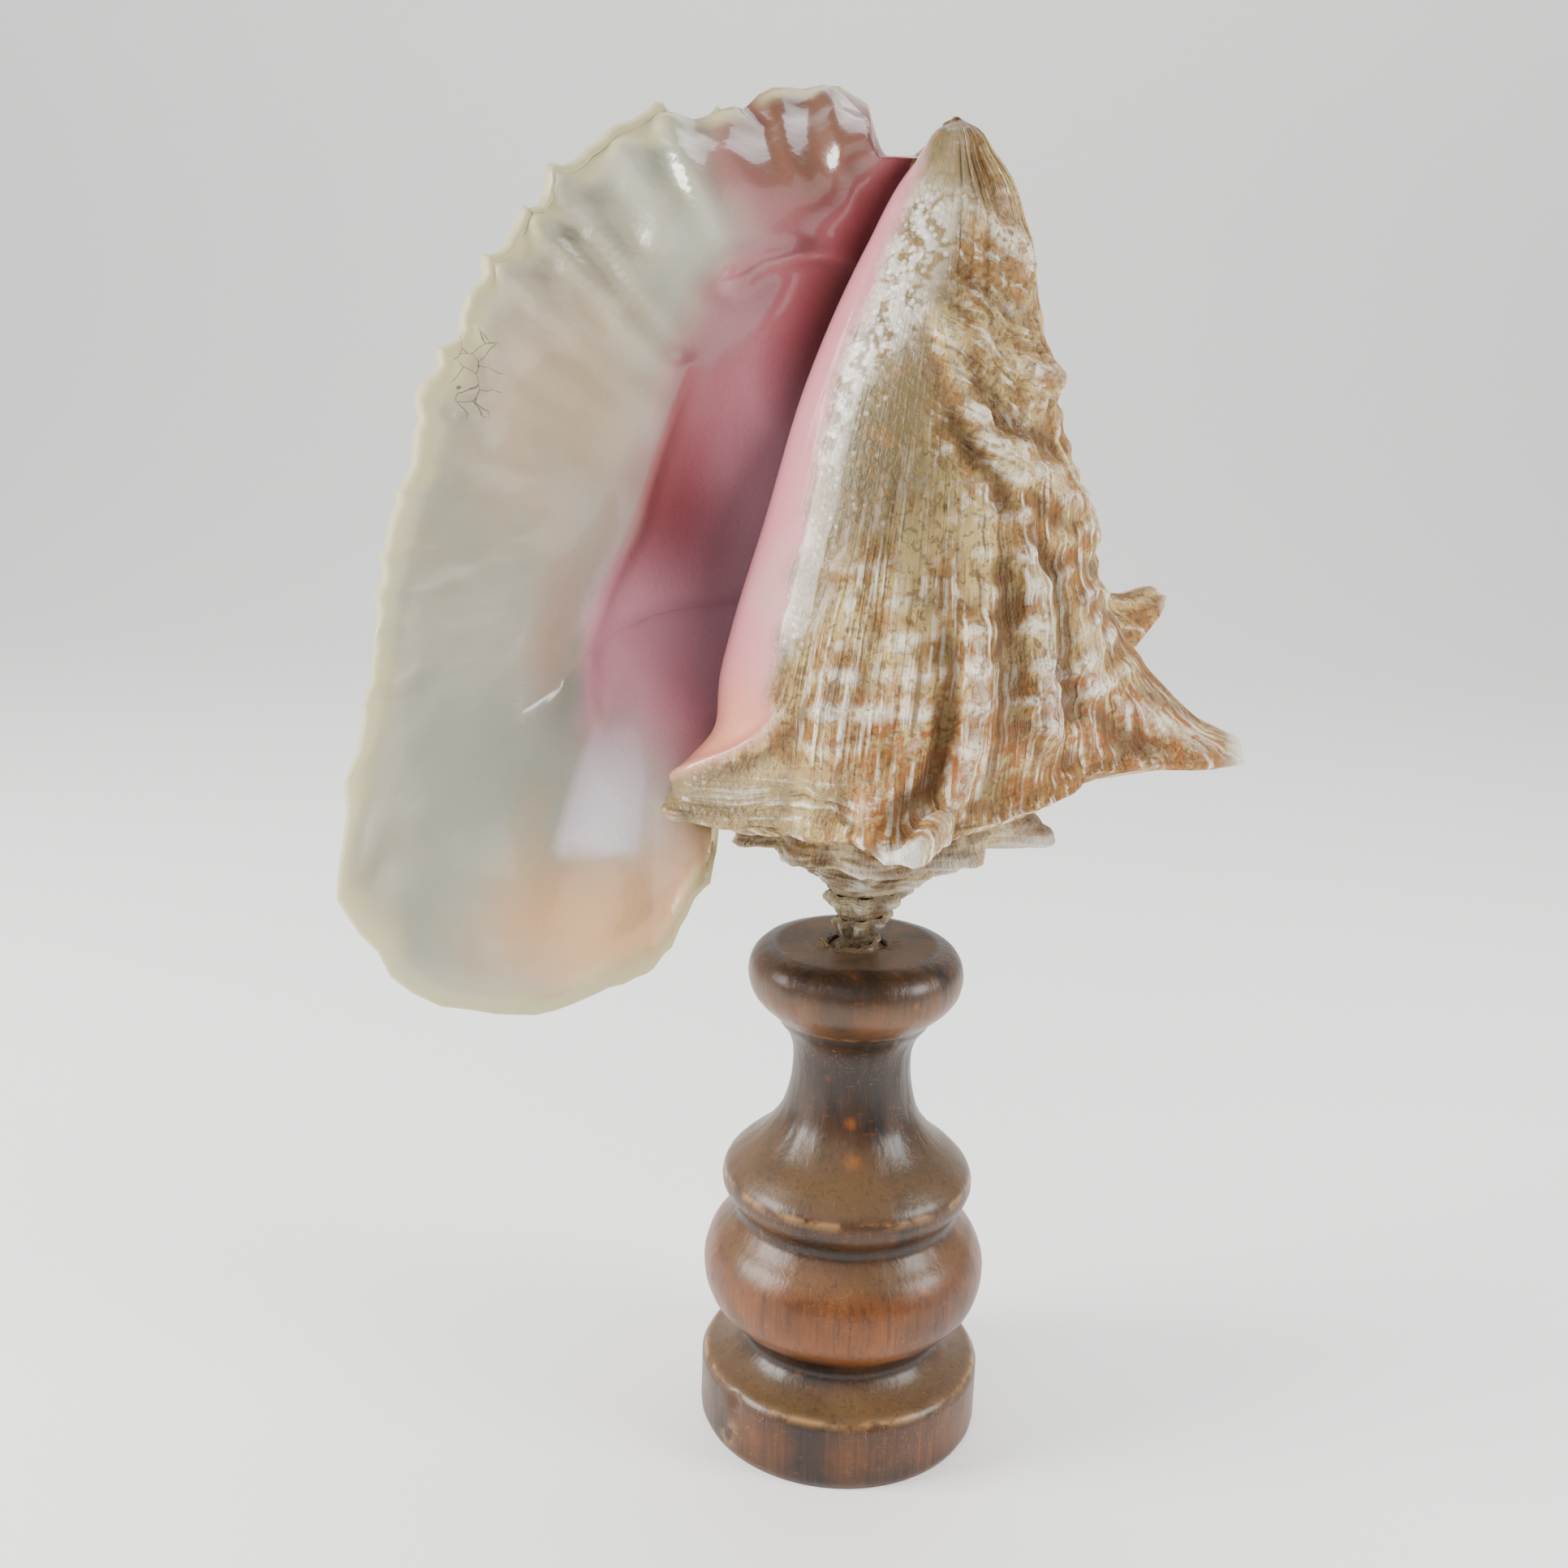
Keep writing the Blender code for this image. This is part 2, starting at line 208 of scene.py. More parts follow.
@dataclass
class ShellForm:
    """The growth of the shell: the same formulas and numbers as the solid part."""

    growth: Grid = field(default_factory=lambda: np.array([
        (-7.2, 1.8, -8.6), (-6.2, 3.6, -4.5), (-5.5, 5.2, 2.5), (-4.6, 7.0, 9.0), (-3.6, 10.6, 16.5),
        (-3.1, 14.0, 21.5), (-2.6, 18.5, 24.0), (-2.1, 24.5, 27.5), (-1.6, 32.0, 36.0),
        (-1.25, 38.5, 37.5), (-1.0, 44.0, 40.5), (-0.83, 49.0, 49.0), (-0.583, 57.0, 65.0),
        (-0.4, 62.0, 72.0), (-0.167, 68.0, 78.0), (0.0, 72.0, 81.0),
    ]))
    columella_side: Grid = field(default_factory=lambda: np.array([
        (0.0, 1.0), (0.12, 1.04), (0.19, 1.05), (0.26, 1.01), (0.43, 0.87), (0.64, 0.70),
        (0.825, 0.45), (0.93, 0.26), (1.0, 0.03),
    ]))
    outer_side: Grid = field(default_factory=lambda: np.array([
        (0.0, 1.0), (0.14, 0.97), (0.25, 0.90), (0.36, 0.795), (0.59, 0.545), (0.81, 0.365),
        (0.92, 0.245), (1.0, 0.03),
    ]))
    # Spines of the last whorl: growth angle, reach, half width in degrees, rise per reach, share above.
    spines: tuple[tuple[float, float, float, float, float], ...] = (
        (-146.0, 4.0, 20.0, 0.0, 0.34), (-89.0, 21.0, 17.0, 0.10, 0.19), (-2.0, 34.0, 27.0, -0.04, 0.34),
        (34.0, 31.0, 19.0, 0.65, 0.34), (95.0, 16.0, 20.0, 0.1, 0.34),
    )
    edge: Grid = field(default_factory=lambda: np.array([
        (0.10, -37, -18, 32), (0.20, -38, -24, 26), (0.33, -43, -30, 19), (0.45, -47, -33, 12),
        (0.60, -54, -36, 4), (0.75, -66, -39, -3), (0.90, -84, -40, -9), (1.05, -106, -40, -6),
        (1.25, -122, -37, 8), (1.50, -128, -34, 20), (1.80, -128, -27, 42), (2.06, -125, -20, 66),
        (2.17, -125, -14, 87), (2.28, -121, -8, 106), (2.39, -119, -2, 128), (2.49, -114, 5, 147),
        (2.59, -107, 11, 167), (2.66, -100, 16, 179), (2.73, -88, 21, 191), (2.80, -73, 26, 201),
        (2.87, -53, 30, 205), (2.91, -42, 33, 210), (2.945, -25, 31, 210), (2.965, -18, 28, 205),
        (2.98, -15, 23, 196), (2.99, -11, 17, 191), (2.996, -5, 11, 192),
    ]))
    wall: Grid = field(default_factory=lambda: np.array([
        (0.0, 1.6), (0.3, 2.4), (0.75, 4.5), (1.5, 6.0), (2.3, 6.0), (2.8, 5.5), (2.95, 3.5), (3.0, 1.6),
    ]))
    lip_deg: float = 210.0
    body_start_deg: float = -150.0
    wing_start_deg: float = 145.0
    throat_end_deg: float = -45.0
    tip_height: float = 204.5
    suture_in: float = 0.965
    suture_up: float = 0.10
    spire_suture_up: float = 0.22
    lean_right_deg: float = 3.7
    lean_front_deg: float = 5.0
    stand_height: float = 140.0
    lip_centre: Xyz = (-45.0, -10.0, 95.0)

    def shoulder(self, deg: Grid) -> tuple[Grid, Grid]:
        """Radius and height of the shoulder at a growth angle."""
        grown = curve_through(self.growth[:, 0], self.growth[:, 1:], (deg - self.lip_deg) / 360.0)
        return grown[..., 0], grown[..., 1]

    def suture(self, deg: Grid) -> tuple[Grid, Grid]:
        """Radius and height of the line where the next whorl is laid on.

        Args:
            deg: growth angle in degrees.

        Returns:
            Radius and height in millimetres.
        """
        radius, height = self.shoulder(deg)
        early = np.clip((self.body_start_deg - 40.0 - deg) / 90.0, 0, 1)
        rise = self.suture_up + (self.spire_suture_up - self.suture_up) * early
        return radius * self.suture_in, height + radius * rise

    def outline(self, deg: Grid, along: Grid) -> Grid:
        """Share of the shoulder radius along the body whorl.

        Args:
            deg: growth angle in degrees.
            along: share of the way from the shoulder to the tip.

        Returns:
            Share of the radius.
        """
        outer = step_between(self.body_start_deg - 30.0, self.body_start_deg + 150.0, deg)
        inner_share = curve_through(self.columella_side[:, 0], self.columella_side[:, 1], along)
        outer_share = curve_through(self.outer_side[:, 0], self.outer_side[:, 1], along)
        return inner_share + (outer_share - inner_share) * outer

    def section(self, deg: Grid, place: Grid) -> tuple[Grid, Grid]:
        """Radius and height of the whorl: place 0 suture, 1 shoulder, 2 next suture, 3 tip.

        Args:
            deg: growth angle in degrees.
            place: place across the whorl.

        Returns:
            Radius and height in millimetres.
        """
        top_r, top_h = self.shoulder(deg)
        low_r, low_h = self.suture(deg - 360.0)
        next_r, next_h = self.suture(deg)
        ramp, band = np.clip(place, 0, 1), np.clip(place - 1, 0, 1)
        start = (next_h - top_h) / (self.tip_height - top_h)
        along = start + (1 - start) * np.clip(place - 2, 0, 1)
        body_r = next_r + top_r * (self.outline(deg, along) - self.outline(deg, start))
        radius = np.where(place < 1, low_r + (top_r - low_r) * ramp, top_r + (next_r - top_r) * band**2)
        low = low_h + (top_h - low_h) * (0.8 * ramp + 0.2 * ramp**2)
        height = np.where(place < 1, low, top_h + (next_h - top_h) * band)
        on_body = place > 2
        body_h = top_h + (self.tip_height - top_h) * along
        return np.where(on_body, body_r, radius), np.where(on_body, body_h, height)

    def spine_push(self, deg: Grid, place: Grid) -> tuple[Grid, Grid]:
        """How far spines and knobs push the surface out, and how far they lift it.

        Args:
            deg: growth angle in degrees.
            place: place across the whorl.

        Returns:
            Push and lift in millimetres.
        """
        radius = self.shoulder(deg)[0]
        push, lift = np.zeros(deg.shape), np.zeros(deg.shape)
        above = np.where(place < 2, (place - 1) * 0.09, place - 1.91)
        for centre, reach, half, rise, share in self.spines:
            away = np.where(place < 1, (1 - place) / 0.50, above / share)
            far = np.hypot((deg - centre) / half, away)
            out = reach * np.clip(1.45 * np.clip(1 - far, 0, 1) ** 2.1, 0, 1)
            lift = np.where(out > push, rise * out, lift)
            push = np.maximum(push, out)
        turn = (deg - self.body_start_deg + 52.5) % 45.0 - 22.5
        away = np.where(place < 1, (1 - place) / 0.6, (place - 1) * 0.6)
        far = np.hypot(turn / 21.0, away)
        worn = (deg > -230.0) | ((np.cos(np.radians(deg + 90.0)) > 0.4) & (deg > -870.0))
        reach = radius * (0.24 + 0.24 * step_between(14.0, 30.0, radius)) * np.where(worn, 0.25, 1.0)
        knob = np.where(place > 2, 0.0, reach * step_between(0.0, 0.92, 1 - far))
        spire = deg < self.body_start_deg - 15.0
        return np.where(spire, knob, push), np.where(spire, -0.15 * knob, lift)

    def whorl(self, deg: Grid, place: Grid) -> Grid:
        """Outer surface of the coiled shell without the flared lip.

        Args:
            deg: growth angle in degrees.
            place: place across the whorl.

        Returns:
            Points in millimetres.
        """
        deg, place = np.broadcast_arrays(np.asarray(deg, float), np.asarray(place, float))
        radius, height = self.section(deg, place)
        push, lift = self.spine_push(deg, place)
        turn = np.radians(deg)
        radius = radius + push
        return np.stack([radius * np.cos(turn), radius * np.sin(turn), height + lift], -1)

    def lip_edge(self, place: Grid) -> Grid:
        """Point on the outer edge of the lip."""
        known = np.vstack([self.whorl(self.lip_deg, 0.0), self.edge[:, 1:], self.whorl(self.lip_deg, 3.0)])
        return curve_through(np.concatenate([[0.0], self.edge[:, 0], [3.0]]), known, place)

    def flare(self, share: Grid, place: Grid) -> Grid:
        """Lip surface between the coiled whorl (share 0) and the lip's edge (share 1).

        Args:
            share: 0 at the whorl and 1 at the lip's edge.
            place: place across the whorl.

        Returns:
            Points in millimetres.
        """
        start = self.whorl(self.wing_start_deg, place)
        leave = start - self.whorl(self.wing_start_deg - 4.0, place)
        leave = leave / (np.linalg.norm(leave, axis=-1, keepdims=True) + 1e-9)
        edge = self.lip_edge(place)
        spread = (edge - np.array(self.lip_centre)) * np.array([1.0, 0.0, 1.0])
        spread = spread / np.linalg.norm(spread, axis=-1, keepdims=True) - np.array([0.0, 0.25, 0.0])
        span = np.linalg.norm(edge - start, axis=-1, keepdims=True)
        t = share[..., None]
        return (
            (1 + 2 * t) * (1 - t) ** 2 * start
            + t * (1 - t) ** 2 * 1.05 * span * leave
            + t * t * (3 - 2 * t) * edge
            + t * t * (t - 1) * 0.75 * span * spread
        )

    def outer_skin(self, deg: Grid, place: Grid) -> Grid:
        """Outer surface of the whole shell, the lip kept on the seam of the last whorl.

        Args:
            deg: growth angle in degrees.
            place: place across the whorl.

        Returns:
            Points in millimetres.
        """
        deg, place = np.broadcast_arrays(np.asarray(deg, float), np.asarray(place, float))
        share = np.clip((deg - self.wing_start_deg) / (self.lip_deg - self.wing_start_deg), 0, 1)
        seam = self.whorl(deg - 360.0, np.full(deg.shape, 2.0))
        hold = np.clip(1 - place / 0.5, 0, 1)[..., None] ** 1.5
        lip = self.flare(share, place) + hold * (seam - self.flare(share, np.zeros(deg.shape)))
        return np.where((deg > self.wing_start_deg)[..., None], lip, self.whorl(deg, place))

    def wall_depth(self, deg: float, place: Grid, point: Grid) -> Grid:
        """Thickness of the wall, which thins where the core comes close.

        Args:
            deg: growth angle in degrees.
            place: place across the whorl.
            point: a point of the lip's face, in millimetres.

        Returns:
            A value for each point.
        """
        core = self.whorl(deg - 360.0, np.linspace(2.0, 3.0, 40))
        room = np.linalg.norm(point[:, None, :] - core[None, :, :], axis=-1).min(axis=1)
        return np.minimum(curve_through(self.wall[:, 0], self.wall[:, 1], place), room * 0.35)

    def stand_frame(self, points: Grid) -> Grid:
        """Move points from the shell's own frame to the stand's frame, in metres.

        Args:
            points: points in millimetres in the shell's own frame.

        Returns:
            Points in metres in the object's frame.
        """
        right, front = math.radians(self.lean_right_deg), math.radians(self.lean_front_deg)
        x, y, z = points[..., 0], points[..., 1], points[..., 2]
        x, z = x * math.cos(right) + z * math.sin(right), z * math.cos(right) - x * math.sin(right)
        y, z = y * math.cos(front) - z * math.sin(front), z * math.cos(front) + y * math.sin(front)
        return np.stack([x, y, z + self.stand_height], -1) * MM


@dataclass(frozen=True)
class FrontView:
    """Where points lie when the shell is looked at from the front, in steps of a 1932 square."""

    eye: tuple[float, float, float] = (-0.0208, -0.409, 0.287)
    tilt_deg: float = 75.7
    roll_deg: float = 1.85
    reach: float = 2000.0
    middle: float = 966.0

    def turn(self) -> Grid:
        """Directions right, up and back of the view, as rows.

        Returns:
            Three rows of directions.
        """
        tilt, roll = math.radians(self.tilt_deg), math.radians(self.roll_deg)
        right = np.array([1.0, 0.0, 0.0])
        up = np.array([0.0, math.cos(tilt), math.sin(tilt)])
        back = np.array([0.0, -math.sin(tilt), math.cos(tilt)])
        return np.array([
            right * math.cos(roll) + up * math.sin(roll), up * math.cos(roll) - right * math.sin(roll), back,
        ])

    def see(self, points: Grid) -> tuple[Grid, Grid]:
        """Across and down of points given in metres.

        Args:
            points: points in metres in the object's frame.

        Returns:
            Places across and down.
        """
        seen = (points - np.array(self.eye)) @ self.turn().T
        far = -seen[..., 2]
        return self.middle + self.reach * seen[..., 0] / far, self.middle - self.reach * seen[..., 1] / far

    def facing(self, points: Grid, normals: Grid) -> Grid:
        """How squarely a surface faces the viewer, from -1 to 1."""
        way = np.array(self.eye) - points
        return (normals * way).sum(-1) / np.linalg.norm(way, axis=-1)


def from_line(across: Grid, down: Grid, line: Line) -> Grid:
    """Distance of points from a broken line in the front view.

    Args:
        across: places to the right in the front view.
        down: places down in the front view.
        line: points of the line.

    Returns:
        Distance of each point.
    """
    nearest = np.full(across.shape, 1e9)
    for (ax, ay), (bx, by) in zip(line[:-1], line[1:]):
        dx, dy = bx - ax, by - ay
        t = np.clip(((across - ax) * dx + (down - ay) * dy) / (dx * dx + dy * dy), 0, 1)
        nearest = np.minimum(nearest, np.hypot(across - ax - t * dx, down - ay - t * dy))
    return nearest


def patch(across: Grid, down: Grid, at: Point, size: Point) -> Grid:
    """Soft oval patch in the front view."""
    return np.exp(-(((across - at[0]) / size[0]) ** 2 + ((down - at[1]) / size[1]) ** 2) ** 1.5)


def patches(across: Grid, down: Grid, spots: tuple[Spot, ...]) -> Grid:
    """Several soft ovals added up, each given by its strength, middle and size."""
    return sum(strength * patch(across, down, at, size) for strength, at, size in spots)


def border(down: Grid, line: Line) -> Grid:
    """Place across of a border line at some places down, its points running downwards."""
    known = np.array(line)
    return np.interp(down, known[:, 1], known[:, 0])


@dataclass
class ConchShell:
    """The whole shell as one fine surface with ribs, growth lines and its colour marks."""

    form: ShellForm
    view: FrontView = FrontView()
    fine_deg: float = 1.5
    coarse_deg: float = 3.0
    first_deg: float = -1950.0
    low_columns: int = 37
    high_columns: int = 122
    rim_rows: int = 5
    crest_step: float = 0.053
    names: tuple[str, ...] = (
        "inside", "column", "pink", "deep", "lilac_and_painted_light", "white", "peach", "cream", "rim", "glaze", "crest",
        "worn", "spire", "arc", "along", "swirl", "rust", "pale", "olive", "speck", "crack", "swirl_share", "low",
    )
    fan_centre: Point = (1150.0, 820.0)
    # Three strong cords of the last half whorl: share along the body, height, half width.
    strong_cords: tuple[Xyz, ...] = ((0.33, 2.6, 0.035), (0.60, 2.2, 0.030), (0.81, 1.7, 0.025))
    # Steps where growth once stopped: growth angle and height.
    growth_steps: tuple[Point, ...] = ((-26.0, 1.6), (14.0, 1.6), (62.0, 1.8), (108.0, 1.4))
    horn_end: tuple[Point, Point] = ((1103.0, 1061.0), (25.0, 17.0))
    swirl_patch: tuple[Point, Point] = ((1225.0, 440.0), (90.0, 170.0))
    ledge_pull: tuple[Point, Point] = ((872.0, 990.0), (70.0, 74.0))
    arc_line: Line = ((905, 345), (940, 322), (985, 312), (1030, 314), (1068, 322))
    shelf_line: Line = ((722, 880), (722, 800), (742, 735), (778, 650), (806, 560), (838, 450))
    crack_lines: tuple[Line, ...] = (
        ((562, 420), (588, 428), (604, 445), (612, 462), (598, 482), (582, 492), (572, 505)),
        ((588, 428), (596, 450), (590, 470)),
        ((556, 505), (572, 512), (590, 505), (603, 512)),
        ((560, 470), (575, 490)),
    )
    column_border: Line = (
        (1152, 150), (1138, 200), (1082, 330), (1036, 450), (1006, 560), (984, 680), (960, 780), (948, 850),
        (956, 880), (925, 925), (890, 960), (850, 985), (822, 1003),
    )
    glaze_border: Line = (
        (1185, 150), (1215, 250), (1165, 330), (1138, 400), (1140, 500), (1120, 600), (1040, 700), (985, 800),
        (950, 860), (890, 960),
    )
    throat_border: Line = (
        (880, 100), (868, 190), (905, 250), (925, 290), (878, 340), (826, 440), (796, 560), (768, 650),
        (736, 740), (716, 830), (712, 900), (740, 960), (800, 1010),
    )
    throat_softness: Line = ((55, 200), (40, 320), (34, 440), (30, 650), (15, 740), (10, 880))
    # Borders of the whiter nacre low in the throat; its sharp-edged shape is a painted window reflection.
    white_and_reflection_left: Line = ((742, 880), (732, 900), (714, 950), (702, 1000), (690, 1050))
    white_and_reflection_right: Line = ((782, 880), (798, 900), (806, 950), (800, 1000), (790, 1050))
    speck_line: Line = ((1135, 275), (1105, 340), (1088, 400), (1045, 460), (1025, 520), (1015, 570))
    speck_width: Line = ((46, 275), (40, 400), (22, 480), (16, 570))
    # Soft patches of colour seen from the front: strength, middle and size.
    pale_spots: tuple[Spot, ...] = (
        (1.0, (950, 985), (130, 42)), (0.3, (1190, 1000), (60, 80)), (0.5, (1420, 890), (60, 40)),
        (0.25, (1225, 440), (90, 170)),
    )
    # Soft patches whitened on the body as painted highlights.
    highlight_spots: tuple[Spot, ...] = (
        (1.0, (1240, 275), (42, 80)), (0.5, (1330, 820), (60, 90)), (0.6, (1050, 850), (110, 70)),
        (0.5, (1450, 905), (60, 40)),
    )
    rust_spots: tuple[Spot, ...] = (
        (1.0, (1150, 925), (120, 95)), (0.7, (1390, 895), (110, 55)), (1.0, (1088, 1015), (30, 38)),
    )
    # Where the slanted swirl growth lines take over from the plain ones.
    swirl_spots: tuple[Spot, ...] = ((1.0, (1225, 440), (95, 190)), (1.0, (950, 985), (140, 38)))
    deep_spots: tuple[Spot, ...] = ((1.15, (905, 560), (135, 250)), (0.9, (1005, 235), (95, 75)))
    # The second lilac patch is a painted pool of light in the shaded throat.
    lilac_and_painted_light_spots: tuple[Spot, ...] = ((1.2, (815, 820), (150, 125)), (0.75, (950, 640), (80, 190)))
    peach_spots: tuple[Spot, ...] = (
        (1.0, (738, 1140), (135, 95)), (0.7, (835, 1060), (70, 90)), (0.3, (700, 480), (120, 170)),
    )
    grey_spots: tuple[Spot, ...] = ((0.5, (735, 330), (70, 60)), (0.4, (560, 640), (60, 120)))
    # Raised lines of the body seen from the front: points, height in millimetres, half width in steps.
    folds: tuple[Fold, ...] = (
        (
            ((1150, 380), (1180, 470), (1225, 560), (1262, 650), (1280, 740), (1285, 820), (1292, 900)),
            3.2, 17.0,
        ),
        (((1200, 545), (1255, 640), (1306, 720), (1318, 800), (1326, 880)), -2.4, 15.0),
        (((1128, 1050), (1152, 1020), (1178, 975), (1195, 915), (1203, 850), (1200, 780)), 4.0, 15.0),
        (((1112, 1004), (1138, 970), (1158, 930), (1168, 880)), -2.4, 22.0),
        (((1070, 985), (1070, 1010), (1080, 1040)), 2.0, 8.0),
        (((1090, 700), (1118, 800), (1135, 890), (1128, 960)), 0.9, 18.0),
        (((1010, 760), (1025, 850), (1020, 940)), 0.7, 16.0),
        (((1235, 700), (1245, 800), (1250, 900)), -1.2, 14.0),
        (((1385, 870), (1430, 890), (1490, 925)), 1.5, 12.0),
        (((1310, 830), (1370, 905), (1430, 935)), -1.6, 18.0),
        (((965, 878), (925, 925), (890, 960), (850, 985), (822, 1003)), 2.0, 9.0),
        (((1190, 250), (1240, 300), (1262, 330)), 2.2, 16.0),
        (((1180, 330), (1235, 370), (1265, 395)), -1.6, 14.0),
        (((1175, 410), (1240, 445), (1288, 470)), 2.4, 15.0),
        (((1200, 490), (1250, 520), (1290, 545)), -1.8, 16.0),
        (((1245, 560), (1300, 610), (1350, 650)), 2.8, 20.0),
        (((1290, 690), (1340, 700), (1365, 700)), -1.8, 15.0),
    )

    def places(self) -> Grid:
        """Places of the columns, closer together where the section turns.

        Returns:
            A value for each point.
        """
        known = np.array([0.0, 0.55, 1.0, 1.25, 2.0])
        low = np.interp(np.linspace(0, 1, self.low_columns), [0.0, 0.33, 0.66, 0.78, 1.0], known)
        return np.concatenate([low[:-1], np.linspace(2.0, 3.0, self.high_columns)])

    def skin(self, deg: Grid, place: Grid) -> Grid:
        """Outer surface with the lip's scalloped edge, before ribs are raised.

        Args:
            deg: growth angle in degrees.
            place: place across the whorl.

        Returns:
            Points in millimetres.
        """
        base = self.form.outer_skin(deg, place)
        span = self.form.lip_deg - self.form.wing_start_deg
        share = np.clip((deg - self.form.wing_start_deg) / span, 0, 1)
        edge = self.form.lip_edge(place)
        out = (edge - np.array(self.form.lip_centre)) * np.array([1.0, 0.0, 1.0])
        out = out / np.linalg.norm(out, axis=-1, keepdims=True)
        run = place * 40.0
        wave = 2.0 * Grain(3).at(run / 3.1, 0.5) + 1.7 * Grain(4).at(run / 1.3, 0.5)
        wave = wave + 1.1 * Grain(5).at(run / 0.55, 0.5) - 1.4
        top = step_between(2.38, 2.5, place) * (1 - step_between(2.90, 2.95, place))
        across, down = self.view.see(self.form.stand_frame(edge))
        wave = wave + 2.6 * top * (self.ridges(across, down) - 0.75)
        wave = np.minimum(wave, 0.4)
        ends = step_between(0.0, 0.15, place) * (1 - step_between(2.95, 2.99, place))
        return base + (wave * ends * share**6)[..., None] * out

    def fan(self, across: Grid, down: Grid) -> Grid:
        """Direction in degrees, seen from the front, from the middle that the lip's pleats fan out from."""
        return np.degrees(np.arctan2(self.fan_centre[1] - down, across - self.fan_centre[0]))

    def ridges(self, across: Grid, down: Grid) -> Grid:
        """Height from 0 to 1 of the pleats that fan out over the top of the lip, seen from the front.

        Args:
            across: places to the right in the front view.
            down: places down in the front view.

        Returns:
            A value for each point.
        """
        way = self.fan(across, down)
        way = way + 1.1 * Grain(41).at(way / 6.0, 0.5)
        return 1.0 - np.abs(np.sin(np.radians(way * 34.0)))

    def cords(self, deg: Grid, place: Grid) -> tuple[Grid, Grid]:
        """Height of the spiral cords, and how near a point is to a crest.

        Args:
            deg: growth angle in degrees.
            place: place across the whorl.

        Returns:
            Height in millimetres, and nearness from 0 to 1.
        """
        along = place - 2.0
        drift = 0.012 * Grain(11).rough(deg / 35.0, along * 5.0)
        phase = (along + drift) / self.crest_step
        crest = np.cos(2 * np.pi * phase) * 0.5 + 0.5
        crest = crest**1.4
        where = step_between(0.02, 0.12, along) * (1 - step_between(0.55, 0.86, along))
        strong = 0.35 + 0.65 * step_between(-150.0, -60.0, deg)
        cord = phase.round()
        beads = 0.55 + 0.75 * Grain(12).at(deg / 5.0, cord) * Grain(14).at(deg / 17.0, cord + 9.0)
        beads = beads + 0.35 * Grain(15).at(deg / 2.4, phase * 1.5)
        fade = 1 - self.glaze_mask(deg, place)
        height = 1.35 * crest * where * strong * np.clip(beads, 0.1, 1.4) * fade
        side = step_between(-62.0, -12.0, deg) * (1 - step_between(150.0, 200.0, deg))
        for centre, tall, wide in self.strong_cords:
            wobble = 0.6 + 0.4 * Grain(13).at(deg / 14.0, centre * 9.0)
            height = height + tall * bell(along - centre, wide) * side * wobble
        on_body = place > 2.0
        lit = crest * where * fade * np.clip(beads + 0.1, 0, 1)
        return np.where(on_body, height, 0.0), np.where(on_body, lit, 0.0)

    def glaze_mask(self, deg: Grid, place: Grid) -> Grid:
        """Where the clear glaze of the inner lip spreads over the body whorl.

        Args:
            deg: growth angle in degrees.
            place: place across the whorl.

        Returns:
            A value for each point.
        """
        along = np.clip(place - 2.0, 0.0, 1.0)
        limit = -122.0 + 42.0 * step_between(0.30, 0.75, along) + 9.0 * Grain(21).rough(along * 9.0, 0.5)
        return np.where(place > 1.6, 1 - step_between(-9.0, 9.0, deg - limit), 0.0)

    def relief(self, deg: Grid, place: Grid, seen: tuple[Grid, Grid, Grid]) -> Grid:
        """Height of everything raised on the outer surface, in millimetres.

        Args:
            deg: growth angles.
            place: places across the whorl.
            seen: across, down and how squarely the surface faces the viewer.

        Returns:
            The height to add along the surface's outward direction.
        """
        height, _ = self.cords(deg, place)
        along = place - 2.0
        across, down, front = seen
        bare = 1 - self.glaze_mask(deg, place)
        grow = 0.38 * Grain(31).rough(deg / 2.6, place * 2.4, 2)
        grow = grow + 0.85 * Grain(32).rough(deg / 11.0, place * 1.5, 2)
        height = height + grow * bare * step_between(-165.0, -140.0, deg)
        visible = step_between(-0.15, 0.15, front) * step_between(-170.0, -160.0, deg) * (deg < 120.0)
        for line, tall, wide in self.folds:
            height = height + tall * bell(from_line(across, down, line), wide) * visible
        ring = bell(self.from_horn_end(across, down) - 1.05, 0.16)
        height = height - 0.7 * ring * visible
        swirl = 0.5 * patch(across, down, *self.swirl_patch) * visible
        uneven = 0.6 + 0.4 * Grain(35).at(across / 30, down / 30)
        height = height + swirl * np.sin(self.swirl(across, down) / 2.4) * uneven
        for start, drop in self.growth_steps:
            line = start + 16.0 * np.clip(along, 0, 1)
            fade = (place > 1.5) * (1 - step_between(0.55, 0.85, along))
            height = height + drop * bell(deg - line, 4.5) * fade
        ramp = step_between(0.05, 0.4, place) * (1 - step_between(0.9, 1.4, place))
        height = height + 0.45 * ramp * np.cos(2 * np.pi * place * 4.0) * step_between(-170.0, -150.0, deg)
        spire = (deg < -165.0) & (place <= 2.0)
        size = self.form.shoulder(deg)[0] / 44.0
        chalk = 0.9 * Grain(33).rough(deg / 9.0, place * 5.0) + 0.5 * Grain(34).rough(deg / 3.0, place * 9.0)
        chalk = size * (chalk + 0.5 * np.cos(2 * np.pi * place * 3.0))
        height = np.where(spire, chalk * (1 - step_between(1.6, 1.95, place)), height)
        height = height * (1 - step_between(2.93, 2.995, place)) * step_between(0.0, 0.12, place)
        return height + 1.7 * bell(place - 2.972, 0.02) * (deg < 100.0)

    def from_horn_end(self, across: Grid, down: Grid) -> Grid:
        """Distance from the worn end of the front horn, 1 on its border."""
        (x, y), (wide, tall) = self.horn_end
        return np.hypot((across - x) / wide, (down - y) / tall)

